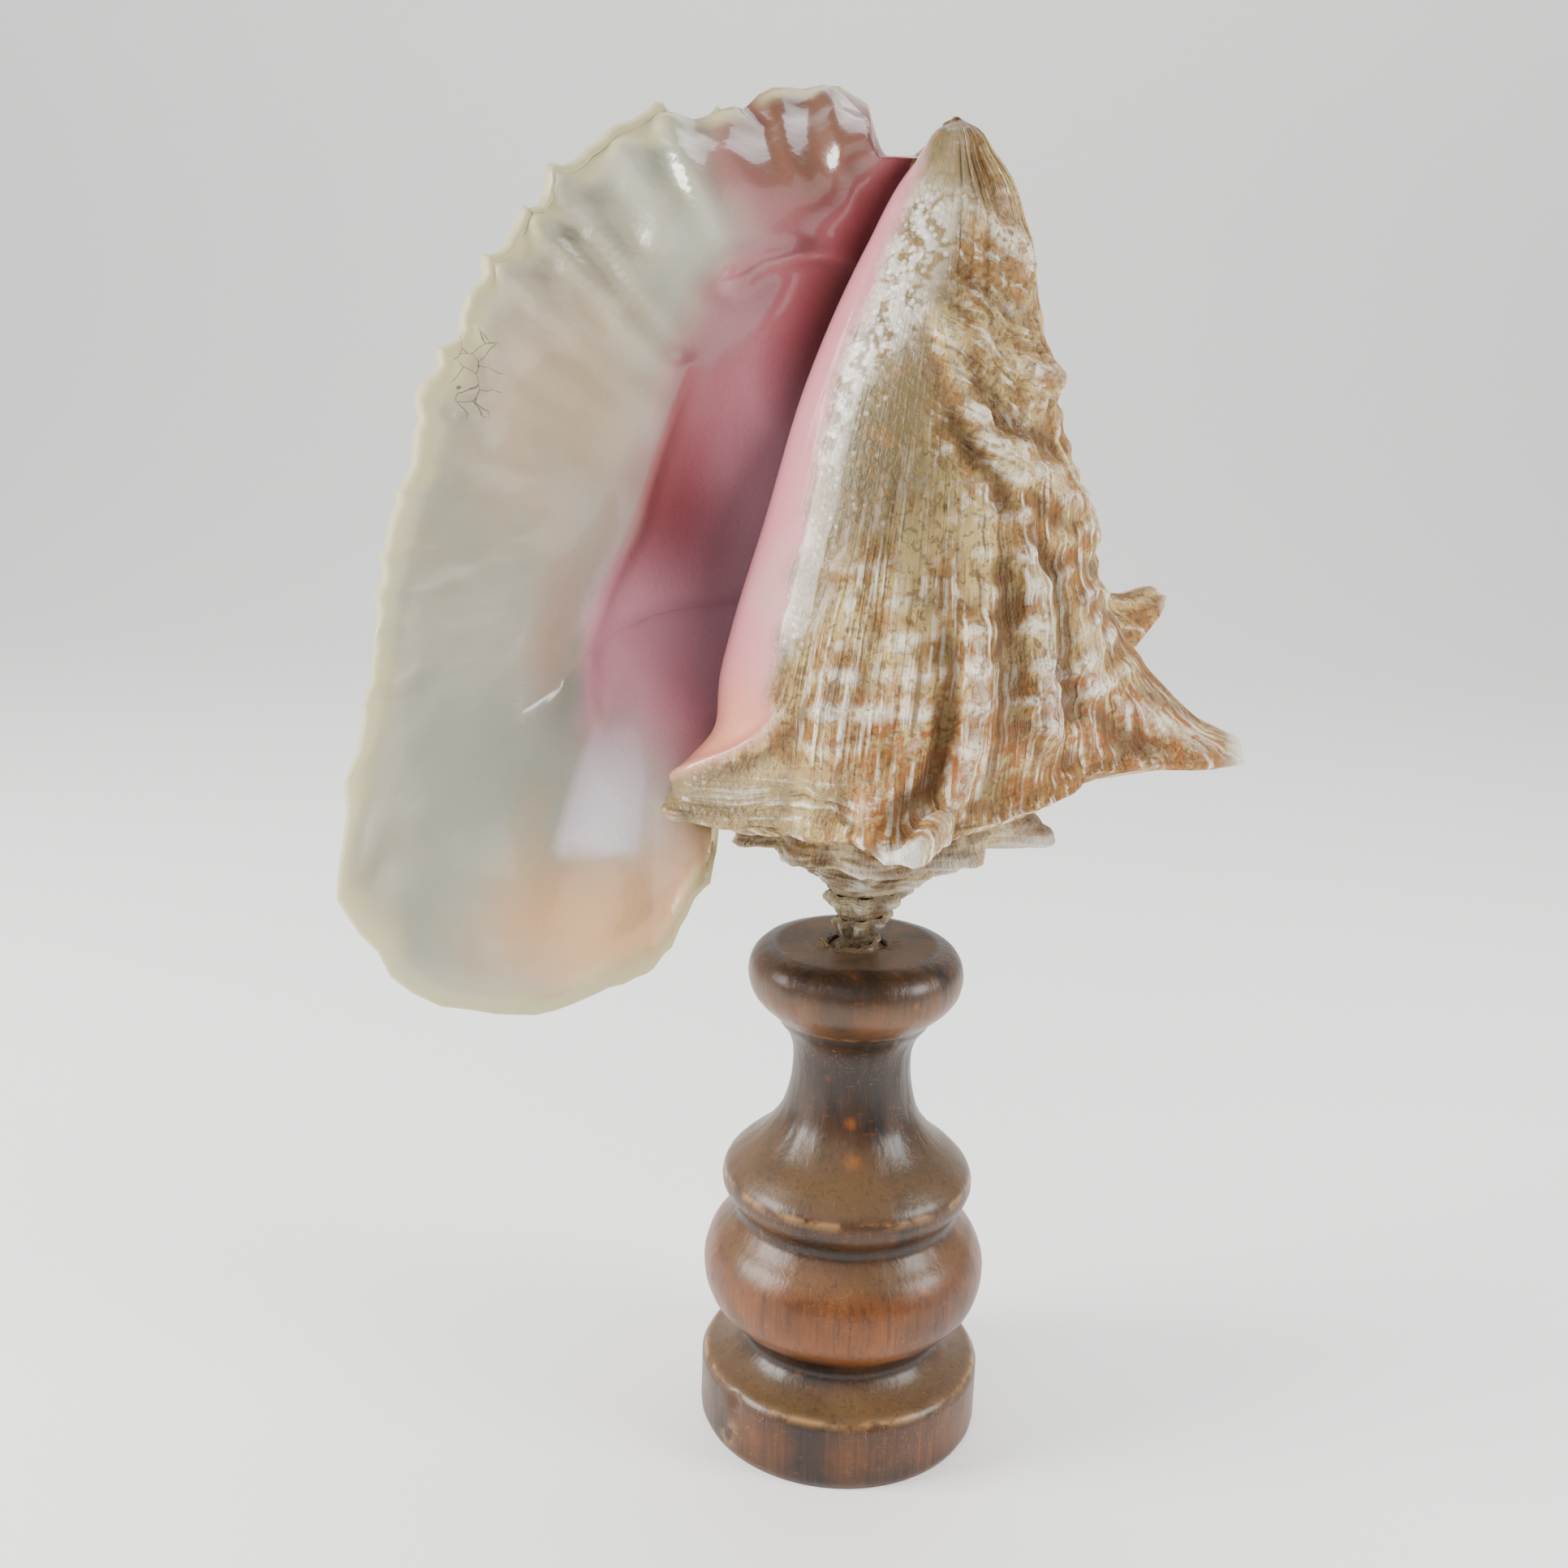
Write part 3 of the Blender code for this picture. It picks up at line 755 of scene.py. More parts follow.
    @staticmethod
    def swirl(across: Grid, down: Grid) -> Grid:
        """Steps across the slanting growth lines near the top of the body.

        Args:
            across: places to the right in the front view.
            down: places down in the front view.

        Returns:
            A value for each point.
        """
        slant = 0.55 * (across - 1150.0) + 0.0016 * (across - 1150.0) ** 2
        slant = np.where(down > 760.0, 0.10 * (across - 950.0), slant)
        return down - slant + 10.0 * Grain(36).rough(across / 45.0, down / 45.0, 2)

    def pleats(self, edge: Grid, across: Grid, down: Grid) -> Grid:
        """Height of the folds and dents of the lip's inner face, in millimetres.

        Args:
            edge: distance from the lip's edge, in millimetres.
            across: place across in the front view.
            down: place down in the front view.

        Returns:
            The height to add towards the viewer.
        """
        way = self.fan(across, down)
        near = bell(edge - 8.0, 25.0) * step_between(0.0, 3.0, edge)
        top = step_between(150.0, 134.0, way) * step_between(90.0, 97.0, way)
        uneven = 0.7 + 0.6 * Grain(44).at(way / 5.0, edge / 30.0)
        folds = 3.4 * top * near * (self.ridges(across, down) - 0.4) * uneven
        ripple = 0.5 * near * Grain(42).rough(way / 3.0, edge / 9.0)
        swell = 1.3 * Grain(43).rough(across / 110.0, down / 130.0, 2)
        arc = 2.2 * bell(from_line(across, down, self.arc_line), 13.0)
        shelf = 2.0 * bell(from_line(across, down, self.shelf_line), 14.0)
        roll = 1.0 * bell(edge - 4.0, 3.5)
        cracks = -0.5 * bell(self.cracks(across, down), 2.5)
        inner = folds + (ripple + swell) * step_between(0.0, 10.0, edge)
        return inner + arc + shelf + roll + cracks

    def cracks(self, across: Grid, down: Grid) -> Grid:
        """Distance from the small cracks near the lip's edge."""
        shift = 3.0 * Grain(45).at(across / 9.0, down / 9.0)
        return np.min([from_line(across + shift, down - shift, line) for line in self.crack_lines], axis=0)

    def settle(self, points: Grid, deg: Grid) -> Grid:
        """Bring the ledge beside the lip and the canal below the tip into place.

        Args:
            points: points in the shell's own frame, in millimetres.
            deg: growth angles of the points.

        Returns:
            The moved points.
        """
        across, down = self.view.see(self.form.stand_frame(points))
        body = step_between(-178.0, -160.0, deg) * (1 - step_between(-95.0, -70.0, deg))
        pull = body * patch(across, down, *self.ledge_pull)
        ahead = step_between(1068.0, 1088.0, across) * (1 - step_between(1146.0, 1164.0, across))
        drop = np.clip(192.0 - down, 0.0, 90.0) * 0.19 * ahead * step_between(112.0, 132.0, deg)
        moved = points.copy()
        moved[..., 0] -= 12.0 * pull
        moved[..., 2] -= drop
        return moved

    def grids(self) -> tuple[Grid, dict[str, Grid], Grid]:
        """Work out every point and mark.

        Returns:
            Points, marks by name, and which points are used, all as rows by columns.
        """
        form, start = self.form, self.form.body_start_deg
        place = self.places()
        degs = np.concatenate([
            np.arange(self.first_deg, start - 0.1, self.coarse_deg),
            np.arange(start, form.lip_deg + 0.1, self.fine_deg),
        ])
        deg2, place2 = np.meshgrid(degs, place, indexing="ij")
        outer = self.skin(deg2, place2)
        facing = self.normals(outer)
        across, down = self.view.see(form.stand_frame(outer))
        tilted = form.stand_frame(outer + facing) - form.stand_frame(outer)
        front = self.view.facing(form.stand_frame(outer), tilted / MM)
        picked = np.nonzero(degs >= form.throat_end_deg)[0][::-1]
        inner = []
        for row in picked:
            depth = form.wall_depth(float(degs[row]), place, outer[row])
            push, _ = form.spine_push(deg2[row], place)
            turn = math.radians(degs[row])
            way = np.array([math.cos(turn), math.sin(turn), 0.0])
            inner.append(outer[row] - facing[row] * depth[:, None] - 0.6 * push[:, None] * way)
        inner = np.array(inner)
        edge = np.linalg.norm(inner - inner[0][None], axis=-1)
        ideg, iplace = deg2[picked], place2[picked]
        seen = self.view.see(form.stand_frame(inner))
        calm = step_between(1.0, 4.0, np.linalg.norm(inner - outer[picked], axis=-1))
        inner = inner - facing[picked] * (self.pleats(edge, *seen) * calm)[..., None]
        height = self.relief(deg2, place2, (across, down, front))
        raised = self.settle(outer + facing * height[..., None], deg2)
        inner = self.settle(inner, ideg)
        out = raised[-1] - raised[-2]
        out = out / np.linalg.norm(out, axis=-1, keepdims=True)
        middle, half = (raised[-1] + inner[0]) / 2, (raised[-1] - inner[0]) / 2
        width = np.linalg.norm(half, axis=-1, keepdims=True)
        rim = []
        for k in range(1, self.rim_rows + 1):
            angle = math.pi * k / (self.rim_rows + 1)
            rim.append(middle + math.cos(angle) * half + 0.65 * math.sin(angle) * width * out)
        points = np.concatenate([raised, np.array(rim), inner])
        outside = self.outer_marks(deg2, place2, (across, down, front))
        # Painted light from the relief: parts lower than their surroundings get painted shade in the low
        # mark, raised parts a painted highlight in the crest mark.
        around = sum(np.roll(height, shift, axis) for shift in (-5, 5) for axis in (0, 1)) / 4.0
        outside["low"] = np.clip((around - height) * 1.1, 0, 1)
        outside["crest"] = np.clip(0.55 * outside["crest"] + np.clip((height - around) * 0.3, 0, 0.35), 0, 1)
        inside = self.inner_marks(ideg, iplace, edge, *seen)
        rims = {name: np.repeat(inside[name][:1], self.rim_rows, axis=0) for name in self.names}
        marks = {name: np.concatenate([outside[name], rims[name], inside[name]]) for name in self.names}
        used = np.ones(points.shape[:2], bool)
        used[: len(degs)][(deg2 < -405.0) & (place2 > 2.0)] = False
        return points, marks, used

    def outer_marks(self, deg: Grid, place: Grid, seen: tuple[Grid, Grid, Grid]) -> dict[str, Grid]:
        """Colour marks of the outer surface.

        Args:
            deg: growth angles.
            place: places across the whorl.
            seen: across, down and how squarely the surface faces the viewer.

        Returns:
            Each mark by name.
        """
        across, down, front = seen
        along = np.clip(place - 2.0, 0, 1)
        shown = step_between(-0.1, 0.2, front) * step_between(-175.0, -165.0, deg) * (deg < 120.0)
        uneven = 7.0 * Grain(51).rough(down / 40.0, across / 40.0, 2)
        hidden = (1 - step_between(-168.0, -158.0, deg)) * step_between(2.10, 2.24, place)
        beside = step_between(16.0, -16.0, across - border(down, self.column_border) + uneven)
        beside = beside * (place > 1.3) * (deg < -60.0) * (deg > -200.0)
        column = np.maximum(hidden, beside)
        glaze = step_between(26.0, -26.0, across - border(down, self.glaze_border) + 2.0 * uneven)
        glaze = glaze * (deg < 0.0) * (place > 1.5) * step_between(-175.0, -165.0, deg)
        push, _ = self.form.spine_push(deg, place)
        _, crest = self.cords(deg, place)
        spire = (1 - step_between(-178.0, -150.0, deg)) * (place <= 2.0)
        disc = self.from_horn_end(across, down)
        tips = step_between(0.84, 1.0, push / 34.0) + 1.2 * step_between(1.15, 0.85, disc) * shown
        # Raised fold lines and the highlight spots are whitened as a painted highlight.
        raised = [(line, tall) for line, tall, _ in self.folds if tall > 0]
        high = sum(bell(from_line(across, down, line), 6.0) * tall / 9.0 for line, tall in raised)
        high = high + 0.8 * patches(across, down, self.highlight_spots)
        horn = patch(across, down, (1112, 1030), (34, 34)) * step_between(0.9, 1.3, disc)
        rust = patches(across, down, self.rust_spots) + 0.25 * step_between(-60.0, -20.0, deg)
        knobs = bell((deg + 30.0) % 45.0 - 22.5, 8.0) * bell(place - 1.0, 0.35) * spire
        ledge = patch(across, down, (900, 930), (62, 95)) * shown
        marks = {name: np.zeros(deg.shape) for name in self.names}
        marks.update({
            "inside": column,
            "column": column,
            "pink": column,
            "deep": np.maximum((1 - step_between(-230.0, -185.0, deg)) * column, 0.35 * ledge * column),
            "peach": np.clip(1.1 * ledge + patch(across, down, (860, 1030), (70, 40)) * shown, 0, 1),
            "glaze": np.clip(glaze + 0.8 * patch(across, down, (890, 985), (60, 50)) * shown, 0, 1),
            "crest": (crest + np.clip(high * shown, 0, 1)) * (1 - 0.7 * horn * shown),
            "worn": np.clip(tips + 0.7 * knobs, 0, 1),
            "spire": spire,
            "arc": np.radians(deg) * 45.0,
            "along": np.where(place > 2.0, 30.0 + along * 140.0, place * 15.0),
            "swirl": self.swirl(across, down),
            "rust": np.clip(rust * (shown + (deg > -60.0) * 0.6), 0, 1),
            "pale": np.clip(patches(across, down, self.pale_spots) * shown, 0, 1),
            "olive": patch(across, down, (1095, 580), (75, 150)) * shown,
            "speck": self.specks(across, down) * shown,
            "crack": patch(across, down, (898, 1008), (9, 8)) * shown,
            "swirl_share": np.clip(patches(across, down, self.swirl_spots), 0, 1) * shown,
        })
        return marks

    def specks(self, across: Grid, down: Grid) -> Grid:
        """Where white specks lie on the glaze, seen from the front."""
        return bell(from_line(across, down, self.speck_line) / border(down, self.speck_width), 1.0)

    def inner_marks(self, deg: Grid, place: Grid, edge: Grid, across: Grid, down: Grid) -> dict[str, Grid]:
        """Colour marks of the lip's inner face and the throat.

        Args:
            deg: growth angles.
            place: places across the whorl.
            edge: distance from the lip's edge, in millimetres.
            across: place across in the front view.
            down: place down in the front view.

        Returns:
            Each mark by name.
        """
        bound = border(down, self.throat_border)
        uneven = 14.0 * Grain(52).rough(down / 60.0, across / 60.0, 2)
        pink = step_between(-1.0, 1.0, (across - bound + uneven) / border(down, self.throat_softness))
        pink = np.where(deg < 100.0, 1.0, pink)
        away = step_between(835.0, 960.0, down + 0.5 * uneven - 0.25 * (across - 760.0)) * (deg > 60.0)
        way = self.fan(across, down)
        fan = step_between(152.0, 136.0, way) * step_between(92.0, 100.0, way) * bell(edge - 14.0, 22.0)
        # Painted shade in the valleys between the pleats at the top of the lip.
        pleat_valley_shade = fan * np.clip(1.0 - 2.4 * self.ridges(across, down), 0, 1) * step_between(4.0, 9.0, edge)
        # Whiter nacre low in the throat, cut to the sharp shape of a painted window reflection.
        white = step_between(-7.0, 5.0, across - border(down, self.white_and_reflection_left) + 0.4 * uneven)
        white = white * step_between(-6.0, 16.0, border(down, self.white_and_reflection_right) - across)
        white = white * step_between(868.0, 905.0, down) * step_between(1062.0, 1040.0, down + 0.3 * uneven)
        deep = np.clip(patches(across, down, self.deep_spots), 0, 1) * (1 - away)
        marks = {name: np.zeros(deg.shape) for name in self.names}
        marks.update({
            "inside": np.ones(deg.shape),
            "pink": pink * (1 - 0.93 * away),
            "deep": deep * step_between(20.0, 100.0, across - bound),
            "lilac_and_painted_light": np.clip(patches(across, down, self.lilac_and_painted_light_spots), 0, 1),
            "white": np.maximum(white, 0.6 * patch(across, down, (790, 950), (75, 110))),
            "peach": np.clip(patches(across, down, self.peach_spots), 0, 1),
            "cream": np.clip(1.1 * patch(across, down, (990, 160), (105, 90)), 0, 1) * 0.85,
            "rim": 1 - step_between(0.5, 7.5, edge + 2.5 * Grain(53).rough(place * 30.0, edge / 7.0)),
            "arc": np.radians(deg) * 60.0,
            "along": place * 90.0,
            "crack": patch(across, down, (588, 462), (36, 62)),
            "low": np.clip(pleat_valley_shade + patches(across, down, self.grey_spots), 0, 1),
        })
        return marks

    @staticmethod
    def normals(points: Grid) -> Grid:
        """Outward directions of a grid of points."""
        facing = np.cross(np.gradient(points, axis=0), np.gradient(points, axis=1))
        return facing / (np.linalg.norm(facing, axis=-1, keepdims=True) + 1e-9)

    def build(self) -> bpy.types.Object:
        """Make the mesh with its marks.

        Returns:
            The object.
        """
        points, marks, used = self.grids()
        rows, columns = used.shape
        number = np.full(used.shape, -1)
        number[used] = np.arange(used.sum())
        whole = used[:-1, :-1] & used[1:, :-1] & used[1:, 1:] & used[:-1, 1:]
        quads = np.stack([number[:-1, :-1], number[1:, :-1], number[1:, 1:], number[:-1, 1:]], -1)[whole]
        item = add_mesh("conch_shell_fine", self.form.stand_frame(points[used]).tolist(), quads.tolist())
        add_marks(item, {name: marks[name][used] for name in self.names})
        item.data.shade_smooth()
        item.data.update()
        LOG.info("conch shell: %d faces from %d rows and %d columns", len(quads), rows, columns)
        return item


@dataclass
class TurnedStand:
    """The turned stand as a fine surface with painted highlights on its rims and rubbed places."""

    steps: int = 288
    tall: float = 140.0
    socket_radius: float = 7.6
    socket_depth: float = 10.5
    side: Line = (
        (22.0, 140.0), (25.2, 139.0), (27.8, 136.2), (28.8, 132.0), (28.2, 128.4), (25.8, 124.6),
        (22.8, 121.8), (21.8, 120.8), (21.0, 120.2), (20.4, 119.0), (17.8, 115.5), (16.3, 111.5),
        (15.9, 106.5), (16.7, 99.0), (19.0, 91.5), (24.0, 84.6), (30.6, 79.0), (33.4, 75.8),
        (34.3, 72.4), (33.2, 69.0), (30.8, 66.0), (30.4, 63.6), (32.2, 60.6), (35.8, 56.4),
        (38.4, 50.5), (38.6, 44.5), (36.6, 38.0), (32.0, 33.0), (28.4, 29.6), (27.8, 26.8),
        (29.8, 23.8), (34.2, 21.0), (37.6, 19.6), (38.8, 17.6), (38.8, 2.0), (37.8, 0.0),
    )

    def profile(self) -> Grid:
        """Radius and height of points a millimetre apart down the side.

        Returns:
            Points of radius and height.
        """
        known = np.array(self.side)
        run = np.concatenate([[0.0], np.cumsum(np.linalg.norm(np.diff(known, axis=0), axis=1))])
        fine = curve_through(run, known, np.arange(0.0, run[-1], 1.0))
        fine[:, 0] = np.minimum(fine[:, 0], 38.8)
        return np.vstack([fine, known[-1:]])

    def build(self) -> bpy.types.Object:
        """Make the mesh with its marks of height, rubbing, painted rim highlights, painted sheen and painted
        shade.

        Returns:
            The object.
        """
        floor = self.tall - self.socket_depth
        r = self.socket_radius
        top = [(0.0, floor), (r - 1.0, floor), (r, floor + 1.0), (r, 139.2), (r + 0.5, 139.75)]
        top += [(9.0, 139.8), (12.0, 139.75), (15.0, 139.8), (18.0, 139.9), (20.5, self.tall)]
        under = [(37.0, 0.0), (30.0, 0.0), (15.0, 0.0), (0.0, 0.0)]
        line = np.vstack([np.array(top), self.profile(), np.array(under)])
        turn = np.linspace(0.0, 2 * np.pi, self.steps, endpoint=False)
        radius = line[:, 0][:, None] + 0.0 * turn[None]
        height = line[:, 1][:, None] + 0.0 * turn[None]
        way = turn[None] * 6.0
        uneven = 0.12 * Grain(61).rough(np.abs(way - 19.0), height / 14.0)
        nick = 1.3 * bell(turn[None] - math.radians(222.0), 0.05) * bell(height - 16.5, 2.2)
        body = step_between(8.0, 12.0, radius) * step_between(0.5, 2.0, height)
        radius = radius + body * (uneven - nick)
        points = np.stack([radius * np.cos(turn), radius * np.sin(turn), height], -1) * MM
        rows, columns = radius.shape
        number = np.arange(rows * columns).reshape(rows, columns)
        after = np.roll(number, -1, axis=1)
        quads = np.stack([number[:-1], number[1:], after[1:], after[:-1]], -1).reshape(-1, 4)
        item = add_mesh("wooden_stand_fine", points.reshape(-1, 3).tolist(), quads.tolist())
        add_marks(item, self.marks(line, turn, radius, points))
        item.data.shade_smooth()
        item.data.set_sharp_from_angle(angle=math.radians(42.0))
        LOG.info("wooden stand: %d faces", len(quads))
        return item

    @staticmethod
    def marks(line: Grid, turn: Grid, radius: Grid, points: Grid) -> dict[str, Grid]:
        """Marks of height, rubbing, painted rim highlights, painted sheen and painted shade.

        Args:
            line: radius and height along the whole outline, in millimetres.
            turn: angles round the axis.
            radius: distance of each point from the axis, in millimetres.
            points: the points, in metres.

        Returns:
            Each mark by name.
        """
        height = line[:, 1][:, None] + 0.0 * turn[None]
        rub = 0.4 * bell(height - 7.0, 9.0) + 0.85 * bell(height - 44.0, 12.0)
        rub = rub + 0.3 * bell(height - 58.0, 6.0) + 0.6 * bell(height - 127.0, 5.0)
        # Painted highlights along the edges of the rims.
        crest = bell(height - 19.2, 0.6) + 0.9 * bell(height - 74.6, 0.8) + 0.7 * bell(height - 120.8, 0.5)
        dark = bell(height - 64.5, 2.0) + bell(height - 27.5, 3.0) + 0.8 * bell(height - 119.0, 1.6)
        flat = (radius < 21.5) & (height > 139.0)
        step = np.gradient(line, axis=0)
        slope = -step[:, 0] / (np.hypot(step[:, 0], step[:, 1]) + 1e-9)
        # Upward-facing slopes and the top ring get a painted sheen.
        up = (1 - step_between(-0.9, -0.3, slope)[:, None]) * (height > 4.0) * (height < 136.0)
        up = np.clip(up + 0.5 * bell(height - 129.0, 6.0), 0, 1)
        # Painted shade inside the socket.
        hole = (radius < 7.7) & (height > 129.0)
        across, down = FrontView().see(points)
        near = step_between(0.0, -0.3, np.sin(turn))[None]
        spots = patch(across, down, (1048, 1385), (8, 7)) + patch(across, down, (1050, 1432), (11, 10))
        rub = rub + 1.2 * spots * near
        crest = crest + 0.8 * patch(across, down, (899, 1768), (12, 16)) * near
        # Painted shade under the top ring darkens the neck over its dark wood; the foot is darker towards the
        # bottom.
        dark = dark + 0.9 * bell(height - 108.0, 11.0) + 0.25 * bell(height - 4.0, 6.0)
        marks = {"rub": rub, "crest": crest, "dark": dark, "top": flat, "hole": hole, "up": up}
        return {name: mark * np.ones(radius.shape) for name, mark in marks.items()}


@dataclass
class SocketCrumbs:
    """Crumbs of glue and dust and a few dry fibres round the shell's socket."""

    crumbs: int = 130
    fibres: int = 9
    seed: int = 7

    def build(self) -> list[bpy.types.Object]:
        """Make one mesh of crumbs and one of fibres.

        Returns:
            The crumbs and the fibres.
        """
        chance = np.random.default_rng(self.seed)
        points, faces = [], []
        for _ in range(self.crumbs):
            way = chance.uniform(0, 2 * math.pi)
            spread = 2.0 if math.cos(way + 0.8) > 0.3 else 0.0
            out = 7.2 + abs(chance.normal(0, 2.6)) + spread * chance.random()
            size = chance.uniform(0.10, 0.42) if out < 9.5 else chance.uniform(0.06, 0.2)
            at = (out * math.cos(way), out * math.sin(way), 139.8 + size * 0.4)
            self._crumb(points, faces, chance, at, size)
        self._bed(points, faces)
        dust = add_mesh("glue_crumbs", in_metres(points), faces)
        points, faces = [], []
        for _ in range(self.fibres):
            low, high = (math.pi * 0.85, math.pi * 1.25) if chance.random() < 0.6 else (-0.3, 0.3)
            self._fibre(points, faces, chance, chance.uniform(low, high))
        return [dust, add_mesh("dry_fibres", in_metres(points), faces)]

    @staticmethod
    def _bed(points: Points, faces: Faces) -> None:
        """Add the uneven ring of dry glue between the shell and the socket.

        Args:
            points: points in millimetres, added to.
            faces: faces, added to.
        """
        first, steps, rings = len(points), 72, (3.5, 5.0, 6.2, 7.2, 8.2)
        for r in rings:
            for k in range(steps):
                way = 2 * math.pi * k / steps
                lump = float(Grain(71).rough(abs(way * 2.2 - 7.0), r * 0.8))
                height = 138.9 + 0.55 * lump + (0.7 if r < 6 else 0.0) - (0.35 if r > 8 else 0.0)
                points.append((r * math.cos(way), r * math.sin(way), height))
        for row in range(len(rings) - 1):
            for k in range(steps):
                a, b = first + row * steps + k, first + row * steps + (k + 1) % steps
                faces.append((a, a + steps, b + steps, b))

    @staticmethod
    def _crumb(points: Points, faces: Faces, chance: np.random.Generator, at: Xyz, size: float) -> None:
        """Add one uneven crumb.

        Args:
            points: points in millimetres, added to.
            faces: faces, added to.
            chance: source of the random draws.
            at: middle, in millimetres.
            size: size in millimetres.
        """
        first = len(points)
        for x, y, z in ((1, 0, 0), (-1, 0, 0), (0, 1, 0), (0, -1, 0), (0, 0, 1), (0, 0, -0.6)):
            grow = size * chance.uniform(0.6, 1.3)
            points.append((at[0] + x * grow, at[1] + y * grow, at[2] + z * grow))
        sides = ((0, 2, 4), (2, 1, 4), (1, 3, 4), (3, 0, 4), (2, 0, 5), (1, 2, 5), (3, 1, 5), (0, 3, 5))
        faces.extend((first + a, first + b, first + c) for a, b, c in sides)

    @staticmethod
    def _fibre(points: Points, faces: Faces, chance: np.random.Generator, way: float) -> None:
        """Add one thin curved fibre that lies on the stand's top.

        Args:
            points: points in millimetres, added to.
            faces: faces, added to.
            chance: source of the random draws.
            way: direction from the axis, in radians.
        """
        length, bend = chance.uniform(2.0, 5.0), chance.uniform(-1.2, 1.2)
        heading = way + chance.uniform(-1.0, 1.0)
        x, y = 8.0 * math.cos(way), 8.0 * math.sin(way)
        first, rows, thick = len(points), 7, 0.09
        for k in range(rows):
            t = k / (rows - 1)
            angle = heading + bend * t
            x, y = x + length / rows * math.cos(angle), y + length / rows * math.sin(angle)
            z = 139.95 + 1.0 * math.sin(t * 3.0) * (1 if bend > 0 else 0.3)
            for corner in range(3):
                side = corner * 2.094
                rise = thick * math.cos(side + 1.2)
                points.append((x + thick * math.cos(side), y + thick * math.sin(side), z + rise))
        for k in range(rows - 1):
            for corner in range(3):
                a, b = first + 3 * k + corner, first + 3 * k + (corner + 1) % 3
                faces.append((a, b, b + 3, a + 3))


class Sum(Enum):
    """Sums that a shader does with two values."""

    ADD = "ADD"
    SUBTRACT = "SUBTRACT"
    MULTIPLY = "MULTIPLY"


class Value:
    """A shader socket that can be used in Python expressions."""

    def __init__(self, sheet: "Sheet", socket: bpy.types.NodeSocket | None) -> None:
        """Keep the socket and the sheet it belongs to."""
        self.sheet = sheet
        self.socket = socket

    def _maths(self, operation: Sum, first: "Value | float", second: "Value | float") -> "Value":
        """Add a Math node for two values."""
        return self.sheet.node("ShaderNodeMath", {"operation": operation.value}, {0: first, 1: second})

    def __add__(self, other: "Value | float") -> "Value":
        """Sum."""
        return self._maths(Sum.ADD, self, other)

    __radd__ = __add__

    def __sub__(self, other: "Value | float") -> "Value":
        """Difference."""
        return self._maths(Sum.SUBTRACT, self, other)

    def __rsub__(self, other: float) -> "Value":
        """Difference from a number."""
        return self._maths(Sum.SUBTRACT, other, self)

    def __mul__(self, other: "Value | float") -> "Value":
        """Product."""
        return self._maths(Sum.MULTIPLY, self, other)

    __rmul__ = __mul__

    def between(self, low: float, high: float) -> "Value":
        """Smooth step from 0 at low to 1 at high."""
        inputs = {"Value": self, "From Min": low, "From Max": high}
        return self.sheet.node("ShaderNodeMapRange", {"interpolation_type": "SMOOTHSTEP"}, inputs)


class Sheet:
    """The node tree of one material."""

    def __init__(self, name: str) -> None:
        """Start an empty material.

        Args:
            name: name to give.
        """
        self.material = bpy.data.materials.new(name)
        self.material.use_nodes = True
        self.tree = self.material.node_tree
        self.tree.nodes.clear()
        self.place = self.node("ShaderNodeTexCoord", {}, {}, "Object")

    def node(self, kind: str, settings: dict, inputs: dict, output: "int | str" = 0) -> Value:
        """Add any node.

        Args:
            kind: type of the node.
            settings: properties, set before the sockets.
            inputs: numbers, colours or values by socket name or number.
            output: name or number of the socket to hand back.

        Returns:
            The output socket as a value, empty for the last node.
        """
        made = self.tree.nodes.new(kind)
        for key, setting in settings.items():
            setattr(made, key, setting)
        for key, given in inputs.items():
            if isinstance(given, Value):
                self.tree.links.new(given.socket, made.inputs[key])
            else:
                made.inputs[key].default_value = given
        return Value(self, made.outputs[output] if made.outputs else None)

    def mark(self, name: str) -> Value:
        """One of the marks kept on the mesh."""
        return self.node("ShaderNodeAttribute", {"attribute_name": name}, {}, "Fac")

    def blend(self, share: "Value | float", first: "Value | Rgb", second: "Value | Rgb") -> Value:
        """Colour between two colours.

        Args:
            share: 0 for the first colour and 1 for the second.
            first: first colour.
            second: second colour.

        Returns:
            The mixed colour.
        """
        a = first if isinstance(first, Value) else linear(first)
        b = second if isinstance(second, Value) else linear(second)
        settings = {"data_type": "RGBA", "clamp_factor": True}
        return self.node("ShaderNodeMix", settings, {0: share, 6: a, 7: b}, 2)

    def stretched(self, scale: Xyz, of: "Value | None" = None) -> Value:
        """The object's own coordinates stretched along each axis."""
        source = of or self.place
        return self.node("ShaderNodeVectorMath", {"operation": "MULTIPLY"}, {0: source, 1: scale})

    def noise(self, where: Value, scale: float, detail: float = 3.0, distortion: float = 0.0) -> Value:
        """Cloudy noise from 0 to 1."""
        inputs = {"Vector": where, "Scale": scale, "Detail": detail, "Distortion": distortion}
        return self.node("ShaderNodeTexNoise", {}, inputs, "Fac")

    def cells(self, where: Value, scale: float) -> Value:
        """Distance from scattered points."""
        return self.node("ShaderNodeTexVoronoi", {}, {"Vector": where, "Scale": scale}, "Distance")

    def finish(self, looks: dict, bump: Value, depth: float) -> bpy.types.Material:
        """Close the material.

        Args:
            looks: Principled sockets and what they are given.
            bump: height that the light sees.
            depth: how far the bump stands out, in metres.

        Returns:
            The finished material.
        """
        relief = {"Height": bump, "Strength": 1.0, "Distance": depth}
        normal = self.node("ShaderNodeBump", {}, relief, "Normal")
        shader = self.node("ShaderNodeBsdfPrincipled", {}, {**looks, "Normal": normal})
        self.node("ShaderNodeOutputMaterial", {}, {"Surface": shader})
        return self.material


